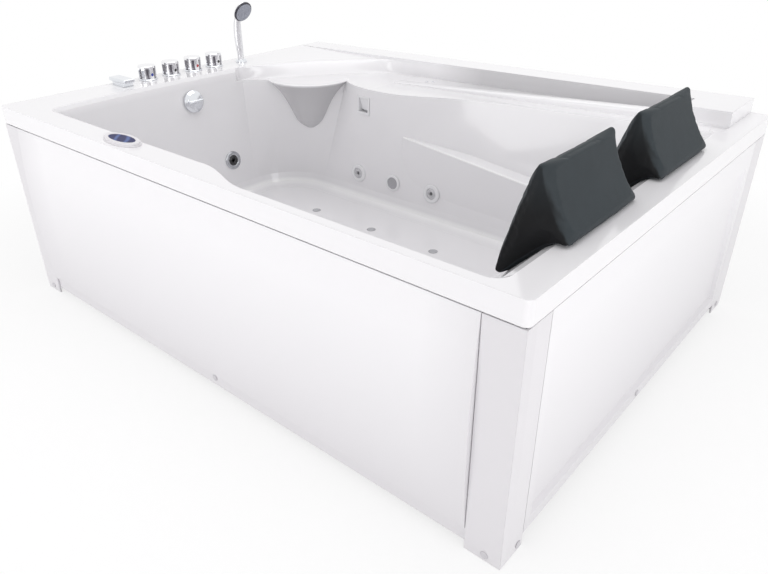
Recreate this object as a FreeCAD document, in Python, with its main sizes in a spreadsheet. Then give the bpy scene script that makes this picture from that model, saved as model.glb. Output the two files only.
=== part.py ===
import FreeCAD, Part
import math
import os
import re
from types import SimpleNamespace

import Sketcher
from FreeCAD import Placement, Rotation, Vector

# A two-person whirlpool bath: acrylic shell on a steel frame, aprons on the front and the right.
# X runs along the bath towards the head end, Y towards the back, Z up from the floor, in mm.

os.makedirs("parts", exist_ok=True)
doc = FreeCAD.newDocument("jetted_bathtub")

# ------------------------------------------------------------------ driving dimensions
sizes = {
    # whole bath
    "bath_length": 1800, "bath_width": 1350, "deck_top": 618, "lip_depth": 51,
    "shell_wall": 6, "deck_corner_radius": 14, "seat_gap": 0.3, "fit_gap": 0.4,
    # deck widths, from the outer edge to the basin's rim
    "left_deck": 138, "left_deck_front": 162, "head_deck": 59, "front_deck": 78,
    "front_deck_narrow": 32, "front_step_x": 90, "back_deck_head": 258, "back_deck_waist": 372,
    "rim_middle": -113, "rim_corner": 28, "shoulder_width": 8, "shoulder_drop": 12, "head_shoulder": 29,
    # basin floor and backrest
    "floor_top": 170, "floor_round": 45, "floor_left": 200, "floor_right": 340, "floor_half_width": 403,
    "floor_corner": 190, "floor_head_corner": 150, "backrest_break_height": 430, "backrest_break": 264,
    # terrace, channel, curb and ledge at the back
    "terrace_drop": 43, "strip_rise": 38, "ledge_depth": 100, "ledge_rise": 40, "ledge_inset": 54,
    "channel_drop": 50, "channel_fall": 5, "curb_start": -289, "curb_depth_left": 227,
    "curb_depth_right": 198, "curb_width": 26, "curb_rise": 30, "curb_low_rise": 2,
    "ledge_block_length": 131,
    # corner spout: its two ends on the rim, from the left and the back edge
    "spout_reach": 92, "spout_drop": 171, "spout_left_x": 226, "spout_left_y": 491,
    "spout_right_x": 453, "spout_right_y": 305,
    # armrest on the back wall
    "armrest_start": -136, "armrest_depth": 375, "armrest_top": 440, "armrest_fall": 0.113,
    "armrest_pitch": 0.18,
    # water jets
    "jet_flange": 33, "jet_proud": 5, "nozzle_radius": 19, "nozzle_bore": 6, "nozzle_slot": 3,
    "sleeve_radius": 24, "sleeve_length": 30, "jet_cup": 31, "jet_depth": 70, "pad_depth": 10,
    "jet_height": 266, "side_jet_height": 305, "jet_left": -334, "jet_right": -2, "front_jet_right": -130,
    "side_jet_back": 15, "side_jet_front": -246,
    # lamp and suction
    "lamp_x": -170, "lamp_flange": 30, "lamp_lens": 21, "lamp_depth": 46,
    "suction_x": 300, "suction_height": 275, "suction_flange": 48, "suction_cup": 36,
    "suction_neck": 30, "suction_depth": 44, "suction_slots": 12,
    # recessed inlet and stream nozzles
    "inlet_x": -316, "inlet_below_deck": 101, "inlet_size": 62, "inlet_frame": 5, "inlet_depth": 26,
    "inlet_wall": 2.5, "inlet_spigot": 40,
    "stream_x": -193, "stream_from_back": 164, "stream_step": 17, "stream_radius": 4,
    # floor air injectors: two rows of three
    "injector_cap": 15, "injector_stem": 8, "injector_start": 331, "injector_pitch": 262,
    "injector_row": 213, "injector_collar": 3,
    # pipes
    "pipe_radius": 25, "pipe_wall": 2.5, "pipe_bend": 60, "collar_wall": 6, "collar_length": 64,
    "air_pipe_radius": 10, "air_pipe_wall": 2, "air_pipe_rise": 62, "air_pipe_drop": 90,
    "floor_air_radius": 12.5, "floor_air_height": 98,
    "under_pipe_height": 52, "corner_reach": 225, "pump_rise": 60, "suction_reach": 110,
    # waste and overflow
    "waste_inset": 160, "waste_flange": 35, "waste_tube": 24, "waste_wall": 3,
    "trap_radius": 45, "trap_top": 68, "trap_bottom": 10,
    "outlet_radius": 25, "outlet_reach": 150, "outlet_spigot": 60, "outlet_nut": 4, "outlet_height": 38,
    "overflow_below_deck": 78, "overflow_y": -100, "overflow_knob": 37, "overflow_pipe": 15,
    "overflow_neck": 20, "overflow_depth": 27, "overflow_entry": 98, "overflow_socket": 4,
    # deck taps and filler
    "tap_inset": 47, "tap_first": -194, "tap_pitch": 93, "tap_base": 31, "tap_base_height": 5,
    "tap_knob": 29, "tap_knob_height": 42, "tap_flutes": 6, "tap_body": 17, "tap_stem": 9,
    "tap_sleeve": 13, "tap_thread": 10.5, "tap_thread_length": 18, "tap_depth": 86, "nut_height": 10,
    "link_radius": 10,
    "filler_inset": 50, "filler_y": -296, "filler_length": 92, "filler_width": 40, "filler_height": 24,
    # hand shower
    "shower_inset": 68, "shower_from_back": 480, "shower_base": 21, "shower_base_height": 10,
    "shower_sleeve": 15, "shower_socket_depth": 34, "shower_socket_floor": 4,
    "shower_handle": 11, "shower_height": 178, "shower_head": 37, "shower_lean": 42, "shower_tilt": 27,
    # control panel
    "panel_x": -306, "panel_from_front": 43, "panel_length": 145, "panel_width": 64, "panel_height": 8,
    "panel_depth": 26, "panel_rim": 3, "display_length": 106, "display_width": 42, "display_sunk": 4,
    # head pillows
    "pillow_length": 307, "pillow_near": -482, "pillow_far": -52, "pillow_gap": 0.6, "pillow_edge": 7,
    "pillow_end_share": 0.95, "pillow_below_deck": 96, "pillow_rise": 145, "pillow_inset": 116,
    "stud_radius": 5, "stud_inset": 100, "stud_from_end": 60, "stud_rise": 4,
    # aprons and posts
    "post_face": 88, "post_side": 85, "left_post_face": 75, "post_wall": 5, "post_set_back": 2,
    "apron_gap": 4, "apron_wall": 4, "apron_bottom": 55, "apron_belly": 14, "apron_return": 18,
    "plinth_bottom": 17, "plinth_depth": 16, "panel_frame": 25, "panel_recess": 10,
    "side_bottom": 32, "side_field_top": 490, "side_field_bottom": 62, "joint_gap": 1.5,
    "cap_radius": 9, "cap_height": 3, "cap_low": 15,
    # steel frame, feet and brackets
    "tube": 30, "frame_bottom": 116, "frame_inset_front": 40, "frame_inset_side": 20,
    "cross_from_left": 280, "cross_middle": -60, "cross_from_right": 400, "rail_from_back": 240,
    "mid_upright_x": -420, "mid_upright_inset": 23, "board_inset": 8,
    "foot_radius": 24, "foot_height": 12, "foot_rod": 6, "foot_row_front": -326,
    "bracket_thickness": 6, "bracket_reach": 600, "side_bracket_reach": 300,
    # pump, blower and control box, on trays behind the basin
    "tray_thickness": 3, "machines_from_back": 150, "pump_x": 120, "pump_axis": 92, "volute_radius": 72,
    "volute_length": 64, "motor_radius": 62, "motor_length": 190, "pump_socket": 34, "pump_shaft": 8,
    "impeller_radius": 55, "impeller_vanes": 6, "pump_wall": 5,
    "blower_x": -390, "blower_radius": 70, "blower_height": 130, "blower_wall": 4,
    "fan_radius": 56, "fan_blades": 9,
    "box_from_right": 300, "box_length": 200, "box_width": 130, "box_height": 80, "box_wall": 3,
    "lid_thickness": 5, "gland_radius": 9, "gland_bore": 4,
}
sheet = doc.addObject("Spreadsheet::Sheet", "sizes")
for row, (alias, number) in enumerate(sizes.items(), start=1):
    sheet.set(f"A{row}", alias)
    sheet.set(f"B{row}", str(number))
    sheet.setAlias(f"B{row}", alias)
doc.recompute()
s = SimpleNamespace(**{alias: float(sheet.get(alias)) for alias in sizes})

nodes = []


# ------------------------------------------------------------------ helpers
def formula(text):
    """Point every alias in a formula at the sheet."""
    return re.sub(r"[a-z_]+", lambda word: "sizes." + word[0] if word[0] in sizes else word[0], str(text))


def node(label, thing):
    thing.Label = label
    nodes.append(thing)
    return thing


def feature(label, shape):
    thing = doc.addObject("Part::Feature", label)
    thing.Shape = shape
    return node(label, thing)


def outline(body, role, points):
    """A closed sketch of straight edges, each corner held by two formulas."""
    sketch = body.newObject("Sketcher::SketchObject", body.Name + "_outline")
    plane = next(item for item in body.Origin.OriginFeatures if item.Role == role)
    sketch.AttachmentSupport = [(plane, "")]
    sketch.MapMode = "FlatFace"
    count = len(points)
    start = [Vector(1, 0, 0) * math.cos(2 * math.pi * i / count)
             + Vector(0, 1, 0) * math.sin(2 * math.pi * i / count) for i in range(count)]
    for i in range(count):
        sketch.addGeometry(Part.LineSegment(start[i], start[(i + 1) % count]), False)
    for i in range(count):
        sketch.addConstraint(Sketcher.Constraint("Coincident", i, 2, (i + 1) % count, 1))
    for i, (across, up) in enumerate(points):
        held = sketch.addConstraint(Sketcher.Constraint("DistanceX", -1, 1, i, 1, start[i].x))
        sketch.setExpression(f"Constraints[{held}]", formula(across))
        held = sketch.addConstraint(Sketcher.Constraint("DistanceY", -1, 1, i, 1, start[i].y))
        sketch.setExpression(f"Constraints[{held}]", formula(up))
    return sketch


def rectangle(x0, x1, y0, y1):
    return [(x0, y0), (x1, y0), (x1, y1), (x0, y1)]


def new_body(label):
    body = doc.addObject("PartDesign::Body", label)
    body.Label = label
    return body


def turned(label, profile):
    """A lathe part about Z from radius and height pairs, as a body of its own."""
    body = new_body(label)
    sketch = outline(body, "XZ_Plane", profile)
    turn = body.newObject("PartDesign::Revolution", label + "_turn")
    turn.Profile = sketch
    turn.ReferenceAxis = (sketch, ["V_Axis"])
    turn.Angle = 360
    return body


def padded(label, points, length, base="0"):
    """A plate or block: an outline in plan, padded upwards from its base height."""
    body = new_body(label)
    sketch = outline(body, "XY_Plane", points)
    sketch.setExpression("AttachmentOffset.Base.z", formula(base))
    pad = body.newObject("PartDesign::Pad", label + "_pad")
    pad.Profile = sketch
    pad.setExpression("Length", formula(length))
    return body


def solid_of(body):
    """The finished solid of a body that serves as the pattern of a group."""
    doc.recompute()
    return body.Shape.copy()


def placed(shape, placement):
    copy = shape.copy()
    copy.Placement = placement.multiply(copy.Placement)
    return copy


def box_between(low, high):
    span = high - low
    return Part.makeBox(span.x, span.y, span.z, low)


def prism(points, bottom, top):
    """A straight prism on a plan outline of straight edges."""
    corners = [Vector(x, y, bottom) for x, y in points]
    face = Part.Face(Part.makePolygon(corners + corners[:1]))
    return face.extrude(Vector(0, 0, top - bottom))


def section_loft(x_left, left, x_right, right):
    """A ruled solid between two YZ outlines with as many corners each."""
    wires = []
    for x, points in ((x_left, left), (x_right, right)):
        corners = [Vector(x, y, z) for y, z in points]
        wires.append(Part.makePolygon(corners + corners[:1]))
    return Part.makeLoft(wires, True, True)


def route(points, bend):
    """Straight runs joined by tangent arcs, each as wide as its two runs allow."""
    edges = []
    start = points[0]
    for i in range(1, len(points) - 1):
        before = points[i] - points[i - 1]
        after = points[i + 1] - points[i]
        half_turn = before.getAngle(after) / 2
        radius = min(bend, 0.45 * min(before.Length, after.Length) / math.tan(half_turn))
        cut_back = radius * math.tan(half_turn)
        into = points[i] - before * (cut_back / before.Length)
        out = points[i] + after * (cut_back / after.Length)
        inward = (into + out) * 0.5 - points[i]
        inward.normalize()
        middle = points[i] + inward * (radius / math.cos(half_turn) - radius)
        edges.append(Part.LineSegment(start, into).toShape())
        edges.append(Part.Arc(into, middle, out).toShape())
        start = out
    edges.append(Part.LineSegment(start, points[-1]).toShape())
    return Part.Wire(edges)


def tube(points, radius, bore, bend):
    wire = route(points, bend)
    along = points[1] - points[0]
    rings = [Part.Wire(Part.makeCircle(r, points[0], along)) for r in (radius, bore)]
    full, hollow = [wire.makePipeShell([ring], True, True) for ring in rings]
    return full.cut(hollow)


def rod(start, end, radius):
    return Part.makeCylinder(radius, (end - start).Length, start, end - start)


def check(objects):
    doc.recompute()
    for item in doc.Objects:
        for word in ("Invalid", "Error"):
            if word in item.State:
                raise RuntimeError(f"{item.Label} did not build")
    for item in objects:
        if item.Shape.isNull() or not item.Shape.isValid():
            raise RuntimeError(f"{item.Label} has no valid shape")


# ------------------------------------------------------------------ acrylic shell
half_length = s.bath_length / 2
half_width = s.bath_width / 2
lip_bottom = s.deck_top - s.lip_depth
deck_under = s.deck_top - s.shell_wall
above_all = s.deck_top + s.ledge_rise + s.lip_depth
rim_left = -half_length + s.left_deck
rim_left_front = -half_length + s.left_deck_front
rim_head = half_length - s.head_deck
shoulder_head = rim_head - s.head_shoulder
rim_front = -half_width + s.front_deck
rim_front_narrow = -half_width + s.front_deck_narrow
rim_back_head = half_width - s.back_deck_head
rim_back_waist = half_width - s.back_deck_waist
foot_front = s.rim_middle - s.floor_half_width
foot_back = s.rim_middle + s.floor_half_width
foot_left = -half_length + s.floor_left
foot_head = half_length - s.floor_right
break_head = half_length - s.backrest_break
foot_height = s.floor_top + s.floor_round
shoulder_height = s.deck_top - s.shoulder_drop
terrace_top = s.deck_top - s.terrace_drop
ledge_front = half_width - s.ledge_depth
ledge_end = half_length - s.ledge_inset
block_start = ledge_end - s.ledge_block_length
curb_left = half_width - s.curb_depth_left
curb_right = half_width - s.curb_depth_right
armrest_face = half_width - s.armrest_depth
spout_left = Vector(-half_length + s.spout_left_x, half_width - s.spout_left_y, 0)
spout_right = Vector(-half_length + s.spout_right_x, half_width - s.spout_right_y, 0)
spout_middle = (spout_left + spout_right) * 0.5
diagonal = (spout_left - spout_right).normalize()
into_basin = Vector(-diagonal.y, diagonal.x, 0)
corner_centre = Vector(foot_left + s.floor_corner, foot_back - s.floor_corner, 0)
corner_cos = math.cos(math.radians(45))


def on_corner(centre, radius, degrees):
    angle = math.radians(degrees)
    return (centre.x + radius * math.cos(angle), centre.y + radius * math.sin(angle))


def corner_points(x, y, radius, x_side, y_side):
    """Start, middle and end of a plan corner's arc, walking anticlockwise."""
    centre = Vector(x - x_side * radius, y - y_side * radius, 0)
    first = math.degrees(math.atan2(y_side, x_side)) - 45
    return [on_corner(centre, radius, first + turn) for turn in (0, 45, 90)]


# Each stretch of the rim has its stretch of the foot: plan points at the foot, at the rim,
# and the direction in which the point moves when the outline grows.
DOWN, RIGHT, UP, LEFT = (0, -1), (1, 0), (0, 1), (-1, 0)
front_left_foot = corner_points(foot_left, foot_front, s.floor_corner, -1, -1)
front_left_rim = corner_points(rim_left_front, rim_front, s.rim_corner, -1, -1)
front_right_foot = corner_points(foot_head, foot_front, s.floor_head_corner, 1, -1)
front_right_rim = corner_points(shoulder_head, rim_front_narrow, s.rim_corner, 1, -1)
back_right_foot = corner_points(foot_head, foot_back, s.floor_head_corner, 1, 1)
back_right_rim = corner_points(shoulder_head, rim_back_head, s.rim_corner, 1, 1)
front_step = rim_front - rim_front_narrow
front_bend = [(s.front_step_x + x, foot_front) for x in (-150, -90, -40, 10, 70)]
front_bend_rim = [(s.front_step_x + x, rim_front - share * front_step)
                  for x, share in ((-110, 0), (-50, 0.13), (0, 0.5), (50, 0.87), (110, 1))]
# The back rim swings forward from the head to its waist and meets the spout's right end: shares
# of the way along, and of the way forward.
back_rim_start = shoulder_head - 250
back_rim = [(back_rim_start + along * (spout_right.x - back_rim_start),
             rim_back_head + forward * (rim_back_waist - rim_back_head))
            for along, forward in ((0, 0), (0.13, 0.12), (0.257, 0.15), (0.385, 0.22), (0.531, 0.5),
                                   (0.595, 0.69), (0.694, 0.97), (0.769, 1), (0.837, 0.95),
                                   (0.895, 0.86))]
back_rim.append((spout_right.x, spout_right.y))
back_foot_start = foot_head - s.floor_head_corner - 80
back_foot = [(back_foot_start + (corner_centre.x - back_foot_start) * i / 10, foot_back) for i in range(11)]
left_foot = [on_corner(corner_centre, s.floor_corner, angle) for angle in (90, 120, 150, 165, 180)]
left_rim = [(spout_right.x, spout_right.y), (spout_middle.x, spout_middle.y), (spout_left.x, spout_left.y),
            (rim_left + 50, spout_left.y - 31), (rim_left + 12, spout_left.y - 60)]
spout_start_way, spout_end_way = (-0.8, 0.65), (-0.35, 1.0)
stretches = [
    (front_left_foot, front_left_rim, [LEFT, (-corner_cos, -corner_cos), DOWN]),
    ([front_left_foot[2], front_bend[0]], [front_left_rim[2], front_bend_rim[0]], [DOWN, DOWN]),
    (front_bend, front_bend_rim, [DOWN] * 5),
    ([front_bend[4], front_right_foot[0]], [front_bend_rim[4], front_right_rim[0]], [DOWN, DOWN]),
    (front_right_foot, front_right_rim, [DOWN, (corner_cos, -corner_cos), RIGHT]),
    ([front_right_foot[2], back_right_foot[0]], [front_right_rim[2], back_right_rim[0]], [RIGHT, RIGHT]),
    (back_right_foot, back_right_rim, [RIGHT, (corner_cos, corner_cos), UP]),
    ([back_right_foot[2], back_foot[0]], [back_right_rim[2], back_rim[0]], [UP, UP]),
    (back_foot, back_rim, [UP] * 10 + [spout_end_way]),
    (left_foot[:3], left_rim[:3], [spout_end_way, (-0.6, 0.8), spout_start_way]),
    (left_foot[2:], left_rim[2:], [spout_start_way, (-0.8, 0.6), LEFT]),
    ([left_foot[4], (foot_left, s.rim_middle), front_left_foot[0]],
     [left_rim[4], (rim_left, s.rim_middle - 90), front_left_rim[0]], [LEFT] * 3),
]


def basin_ring(height, grow, share):
    """The basin's outline at a height: a share of the way from foot to rim, grown outwards.
    The head end keeps its own slope, flatter above the break."""
    if height <= s.backrest_break_height:
        head = foot_head + (break_head - foot_head) * max(0, height - foot_height) / (
            s.backrest_break_height - foot_height)
    else:
        head = break_head + (shoulder_head - break_head) * (height - s.backrest_break_height) / (
            shoulder_height - s.backrest_break_height)
    linear_head = foot_head + (shoulder_head - foot_head) * share
    edges = []
    for foot, rim, ways in stretches:
        points = []
        for (fx, fy), (rx, ry), (gx, gy) in zip(foot, rim, ways):
            x = fx + (rx - fx) * share + gx * grow
            if x > 0.6 * foot_head:
                x += head - linear_head
            points.append(Vector(x, fy + (ry - fy) * share + gy * grow, height))
        bowed = len(points) == 3 and (points[1] - points[0]).cross(points[2] - points[1]).Length > 1
        if bowed:
            edges.append(Part.Arc(*points).toShape())
        elif len(points) > 3:
            curve = Part.BSplineCurve()
            curve.interpolate(points)
            edges.append(curve.toShape())
        else:
            edges.append(Part.LineSegment(points[0], points[-1]).toShape())
    return Part.Wire(edges)


def basin_solid(grow, lower):
    """The basin as a solid: the air inside it, or with growth the outside of its wall."""
    round_low = s.floor_round * (1 - corner_cos)
    rise = shoulder_height - foot_height
    rings = [
        basin_ring(s.floor_top - lower, grow - s.floor_round, 0),
        basin_ring(s.floor_top - lower + round_low, grow - round_low, 0),
        basin_ring(foot_height - lower, grow, 0),
        basin_ring(s.backrest_break_height, grow, (s.backrest_break_height - foot_height) / rise),
        basin_ring(shoulder_height, grow, 1),
        basin_ring(s.deck_top, grow + s.shoulder_width, 1),
    ]
    return Part.makeLoft(rings, True, True)


def ledge_top(x):
    return s.deck_top + s.ledge_rise * (x + half_length) / (ledge_end + half_length)


def strip_top(x):
    share = (x - s.curb_start) / (ledge_end - s.curb_start)
    return terrace_top + s.strip_rise * max(0, share)


def rear_chain(x, lower):
    """Channel, curb and rim strip behind the basin, from the ledge towards the basin."""
    share = (x - s.curb_start) / (ledge_end - s.curb_start)
    front = curb_left + (curb_right - curb_left) * share
    channel = ledge_top(x) - s.channel_drop - s.channel_fall * (1 - share)
    crest = strip_top(x) + s.curb_low_rise + (s.curb_rise - s.curb_low_rise) * share
    return [(ledge_front + lower, channel - lower), (front + s.curb_width - lower, channel - lower),
            (front + s.curb_width - lower, crest - lower), (front + lower, crest - lower),
            (front + lower, strip_top(x) - lower), (s.rim_middle, strip_top(x) - lower)]


def rear_band(lower):
    """Everything above the rear chain, as a solid from the curb's start to the head."""
    rings = []
    for x in (s.curb_start, ledge_end):
        chain = rear_chain(x, lower)
        rings.append(chain + [(chain[-1][0], above_all), (chain[0][0], above_all)])
    return section_loft(s.curb_start, rings[0], ledge_end, rings[1])


def head_strip(lower):
    """Where the head deck keeps its own height beside the basin."""
    return box_between(Vector(shoulder_head, s.rim_middle - 1, 0),
                       Vector(half_length, rim_back_head + s.shoulder_width - lower, above_all))


def rear_box(x0, x1, y0, y1, grow):
    """A block under the rising ledge plane, thinned all round by its growth."""
    low = lip_bottom - s.lip_depth
    ring = [[(y0 - grow, low), (y1 + grow, low),
             (y1 + grow, ledge_top(x) + grow), (y0 - grow, ledge_top(x) + grow)] for x in (x0, x1)]
    return section_loft(x0 - grow, ring[0], x1 + grow, ring[1])


# The corner shelf's edge, from the left and the back edge of the bath.
shelf_edge = [(-half_length + x, half_width - y)
              for x, y in ((172, 472), (245, 326), (280, 278), (356, 190), (460, s.ledge_depth))]
inside_left = -half_length + 300
terrace_plan = ([(rim_left + 2, spout_left.y - 74), (rim_left + 14, spout_left.y - 34)] + shelf_edge
                + [(s.curb_start, ledge_front), (s.curb_start, s.rim_middle), (inside_left, s.rim_middle)])
terrace_under_plan = ([(rim_left - s.shell_wall, spout_left.y - 80), (rim_left, spout_left.y - 26)]
                      + [(x - 4, y + 5) for x, y in shelf_edge]
                      + [(s.curb_start + 1, ledge_front + s.shell_wall),
                         (s.curb_start + 1, s.rim_middle), (inside_left, s.rim_middle)])


def spout_solid(thin, back):
    """The corner spout: bowed sections that narrow downwards on the diagonal wall."""
    half = (spout_left - spout_right).Length / 2
    rings = []
    for share, width, reach in ((0, 1.0, 1.0), (0.27, 0.62, 0.66), (0.55, 0.40, 0.42), (0.85, 0.2, 0.19),
                                (1.0, 0.07, 0.05)):
        height = terrace_top - s.spout_drop * share - thin
        w = half * width - thin
        bow = s.spout_reach * reach - thin
        if w <= 1 or bow <= 1:
            break
        lean = into_basin * (-10 * share)
        centre = spout_middle + lean + Vector(0, 0, height)
        left = centre + diagonal * w
        right = centre - diagonal * w
        behind = into_basin * -back
        rings.append(Part.Wire([
            Part.Arc(left, centre + into_basin * bow, right).toShape(),
            Part.LineSegment(right, right + behind).toShape(),
            Part.LineSegment(right + behind, left + behind).toShape(),
            Part.LineSegment(left + behind, left).toShape(),
        ]))
    return Part.makeLoft(rings, True, True)


def armrest_wedge(lower):
    """The armrest under its sloping top: a vertical face that stands in from the upper wall."""
    rings = []
    face, back = armrest_face + lower, rim_back_head + 10 * s.shell_wall
    for x in (s.armrest_start + lower, half_length):
        edge = s.armrest_top - s.armrest_fall * (x - s.armrest_start) - lower
        rings.append([(face, s.floor_top - 15), (back, s.floor_top - 15),
                      (back, edge + s.armrest_pitch * (back - face)), (face, edge)])
    return section_loft(s.armrest_start + lower, rings[0], half_length, rings[1])


def deck_block(inset, bottom, top):
    corner = s.deck_corner_radius - min(inset, s.deck_corner_radius - 2)
    block = box_between(Vector(-half_length + inset, -half_width + inset, bottom),
                        Vector(half_length - inset, half_width - inset, top))
    uprights = [edge for edge in block.Edges if abs(edge.tangentAt(edge.FirstParameter).z) > 0.9]
    return block.makeFillet(corner, uprights)


everywhere = 2 * s.bath_length
below_lip = box_between(Vector(-everywhere, -everywhere, 0), Vector(everywhere, everywhere, lip_bottom))
lid = Part.Face(basin_ring(s.deck_top, s.shoulder_width, 1)).extrude(Vector(0, 0, 2 * s.lip_depth))
inner_air = basin_solid(0, 0).fuse(lid).cut(armrest_wedge(0))
block = rear_box(block_start, ledge_end, curb_right, half_width, 0)
terrace_air = prism(terrace_plan, terrace_top, above_all).cut(block)
air = inner_air.fuse([terrace_air, rear_band(0).cut([block, head_strip(0)])])

deck = deck_block(0, lip_bottom, s.deck_top)
ledge = rear_box(-half_length, ledge_end, ledge_front, half_width, 0)
under_deck = deck_block(s.shell_wall, lip_bottom - 1, deck_under)
under_ledge = rear_box(-half_length, ledge_end, ledge_front, half_width, -s.shell_wall)
under_block = rear_box(block_start, ledge_end, curb_right, half_width, -s.shell_wall)
skin = deck.fuse([ledge, block]).cut([below_lip, under_deck, under_ledge, under_block])

basin_wall = basin_solid(s.shell_wall, s.shell_wall).cut(armrest_wedge(s.shell_wall))
terrace_wall = prism(terrace_under_plan, terrace_top - s.shell_wall, deck_under + 1)
rear_limit = box_between(Vector(s.curb_start, s.rim_middle, 0),
                         Vector(ledge_end, ledge_front + s.shell_wall, s.deck_top))
rear_wall = rear_band(s.shell_wall).common(rear_limit).cut([under_block, head_strip(s.shell_wall)])
shell = skin.fuse([basin_wall, terrace_wall, rear_wall]).cut(air)
shell = shell.fuse(spout_solid(0, s.shell_wall / 2)).cut(spout_solid(s.shell_wall, 10 * s.shell_wall))

# ------------------------------------------------------------------ places of the wall fittings
INTO_LEFT, INTO_BACK, INTO_FRONT = Vector(-1, 0, 0), Vector(0, 1, 0), Vector(0, -1, 0)
ALONG, UPWARDS = Vector(1, 0, 0), Vector(0, 0, 1)


def wall_hit(start, towards):
    ray = Part.makeLine(start, start + towards * s.bath_length)
    ends = [vertex.Point for vertex in inner_air.common(ray).Vertexes]
    return min((end for end in ends if (end - start).Length > 1), key=lambda end: (end - start).Length)


def wall_seat(start, towards, radius):
    """Centre and normal of a flat seat that clears the wall at four points under a fitting's rim."""
    aside = Vector(towards.y, -towards.x, 0) * radius
    rise = Vector(0, 0, radius)
    here = wall_hit(start, towards)
    rim = [wall_hit(start + step, towards) for step in (-aside, aside, -rise, rise)]
    normal = (rim[1] - rim[0]).cross(rim[3] - rim[2]).normalize()
    if normal.dot(towards) > 0:
        normal = normal * -1
    stand = max([0] + [(point - here).dot(normal) for point in rim])
    return here + normal * stand, normal


def facing(point, normal):
    """Local Z along the normal and local X level."""
    level = Vector(-normal.y, normal.x, 0)
    if level.Length < 0.01:
        level = Vector(1, 0, 0)
    return Placement(point, Rotation(level, normal.cross(level), normal, "ZXY"))


def behind(seat, distance):
    point, normal = seat
    return point - normal * distance


def back_seat(x, height, radius):
    return wall_seat(Vector(x, s.rim_middle, height), INTO_BACK, radius)


def front_seat(x, height, radius):
    return wall_seat(Vector(x, s.rim_middle, height), INTO_FRONT, radius)


def left_seat(y, height, radius):
    return wall_seat(Vector(0, y, height), INTO_LEFT, radius)


jet_seats = [seat(along, height, s.jet_flange) for seat, along, height in (
    (front_seat, s.front_jet_right, s.jet_height), (front_seat, s.jet_left, s.jet_height),
    (left_seat, s.side_jet_front, s.side_jet_height), (left_seat, s.side_jet_back, s.side_jet_height),
    (back_seat, s.jet_left, s.jet_height), (back_seat, s.jet_right, s.jet_height))]
lamp_seat = back_seat(s.lamp_x, s.jet_height, s.lamp_flange)
suction_seat = front_seat(s.suction_x, s.suction_height, s.suction_flange)
inlet_seat = back_seat(s.inlet_x, s.deck_top - s.inlet_below_deck, s.inlet_size / 2)
overflow_seat = left_seat(s.overflow_y, s.deck_top - s.overflow_below_deck, s.overflow_neck)
injector_first = foot_left + s.injector_start
injector_rows = (s.rim_middle - s.injector_row, s.rim_middle + s.injector_row)
injector_places = [Vector(injector_first + i * s.injector_pitch, y, s.floor_top)
                   for y in injector_rows for i in range(3)]
waste_place = Vector(foot_left + s.waste_inset, s.rim_middle, s.floor_top)
tap_x = -half_length + s.tap_inset
filler_x = -half_length + s.filler_inset
tap_places = [Vector(tap_x, s.tap_first + i * s.tap_pitch, s.deck_top) for i in range(4)]
filler_place = Vector(filler_x, s.filler_y, s.deck_top)
shower_place = Vector(-half_length + s.shower_inset, half_width - s.shower_from_back, s.deck_top)
panel_place = Vector(s.panel_x, -half_width + s.panel_from_front, s.deck_top)
stream_flange = s.stream_radius + 1
stream_places = []
for i in range(2):
    x = s.stream_x + i * s.stream_step
    stream_places.append(Vector(x, half_width - s.stream_from_back + 0.8 * i * s.stream_step,
                                rear_chain(x + stream_flange, 0)[0][1]))
stud_x = half_length - s.stud_inset
stud_top = s.deck_top + s.stud_rise
stud_offsets = (s.stud_from_end, s.pillow_length - s.stud_from_end)
stud_places = [Vector(stud_x, start + offset, 0) for start in (s.pillow_near, s.pillow_far)
               for offset in stud_offsets]


def wall_pad(seat, radius):
    """A flat, thickened seat for a fitting, hidden under the fitting's flange."""
    return rod(behind(seat, s.pad_depth), seat[0], radius)


def wall_hole(seat, radius):
    return rod(behind(seat, 3 * s.shell_wall), behind(seat, -2), radius)


def drop_hole(place, radius):
    deep = Vector(0, 0, 4 * s.shell_wall)
    return rod(place - deep, place + Vector(0, 0, 6), radius)


def oval(centre, half_x, half_y, bottom, top):
    at = Vector(centre.x, centre.y, bottom)
    ring = Part.Ellipse(at + Vector(half_x, 0, 0), at + Vector(0, half_y, 0), at).toShape()
    return Part.Face(Part.Wire(ring)).extrude(Vector(0, 0, top - bottom))


inlet_hole_half = s.inlet_size / 2 - s.inlet_frame + s.fit_gap
inlet_hole = placed(box_between(Vector(-inlet_hole_half, -inlet_hole_half, -3 * s.shell_wall),
                                Vector(inlet_hole_half, inlet_hole_half, 2)), facing(*inlet_seat))
panel_core_x = s.display_length / 2 + 4
panel_core_y = s.display_width / 2 + 4
holes = [wall_hole(seat, s.sleeve_radius + s.fit_gap) for seat in jet_seats]
holes.append(wall_hole(lamp_seat, s.lamp_lens + 2 + s.fit_gap))
holes.append(wall_hole(suction_seat, s.suction_neck + s.fit_gap))
holes.append(wall_hole(overflow_seat, s.overflow_neck + s.fit_gap))
holes.append(inlet_hole)
holes += [drop_hole(place, s.injector_stem + s.fit_gap) for place in injector_places]
holes.append(drop_hole(waste_place, s.waste_tube + s.fit_gap))
holes += [drop_hole(place, s.tap_sleeve + s.fit_gap) for place in tap_places + [filler_place]]
holes.append(drop_hole(shower_place, s.shower_sleeve + s.fit_gap))
holes += [drop_hole(place, s.stream_radius + s.fit_gap) for place in stream_places]
holes += [rod(place + Vector(0, 0, s.backrest_break_height), place + Vector(0, 0, s.deck_top),
              s.stud_radius + s.fit_gap) for place in stud_places]
holes.append(oval(panel_place, panel_core_x + s.fit_gap, panel_core_y + s.fit_gap,
                  deck_under - 10, s.deck_top + 5))
pads = [wall_pad(seat, s.jet_flange - 1) for seat in jet_seats]
pads += [wall_pad(lamp_seat, s.lamp_flange - 1), wall_pad(suction_seat, s.suction_flange - 1)]
shell = shell.fuse(pads).cut(holes).removeSplitter()
feature("tub_shell", shell)

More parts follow.
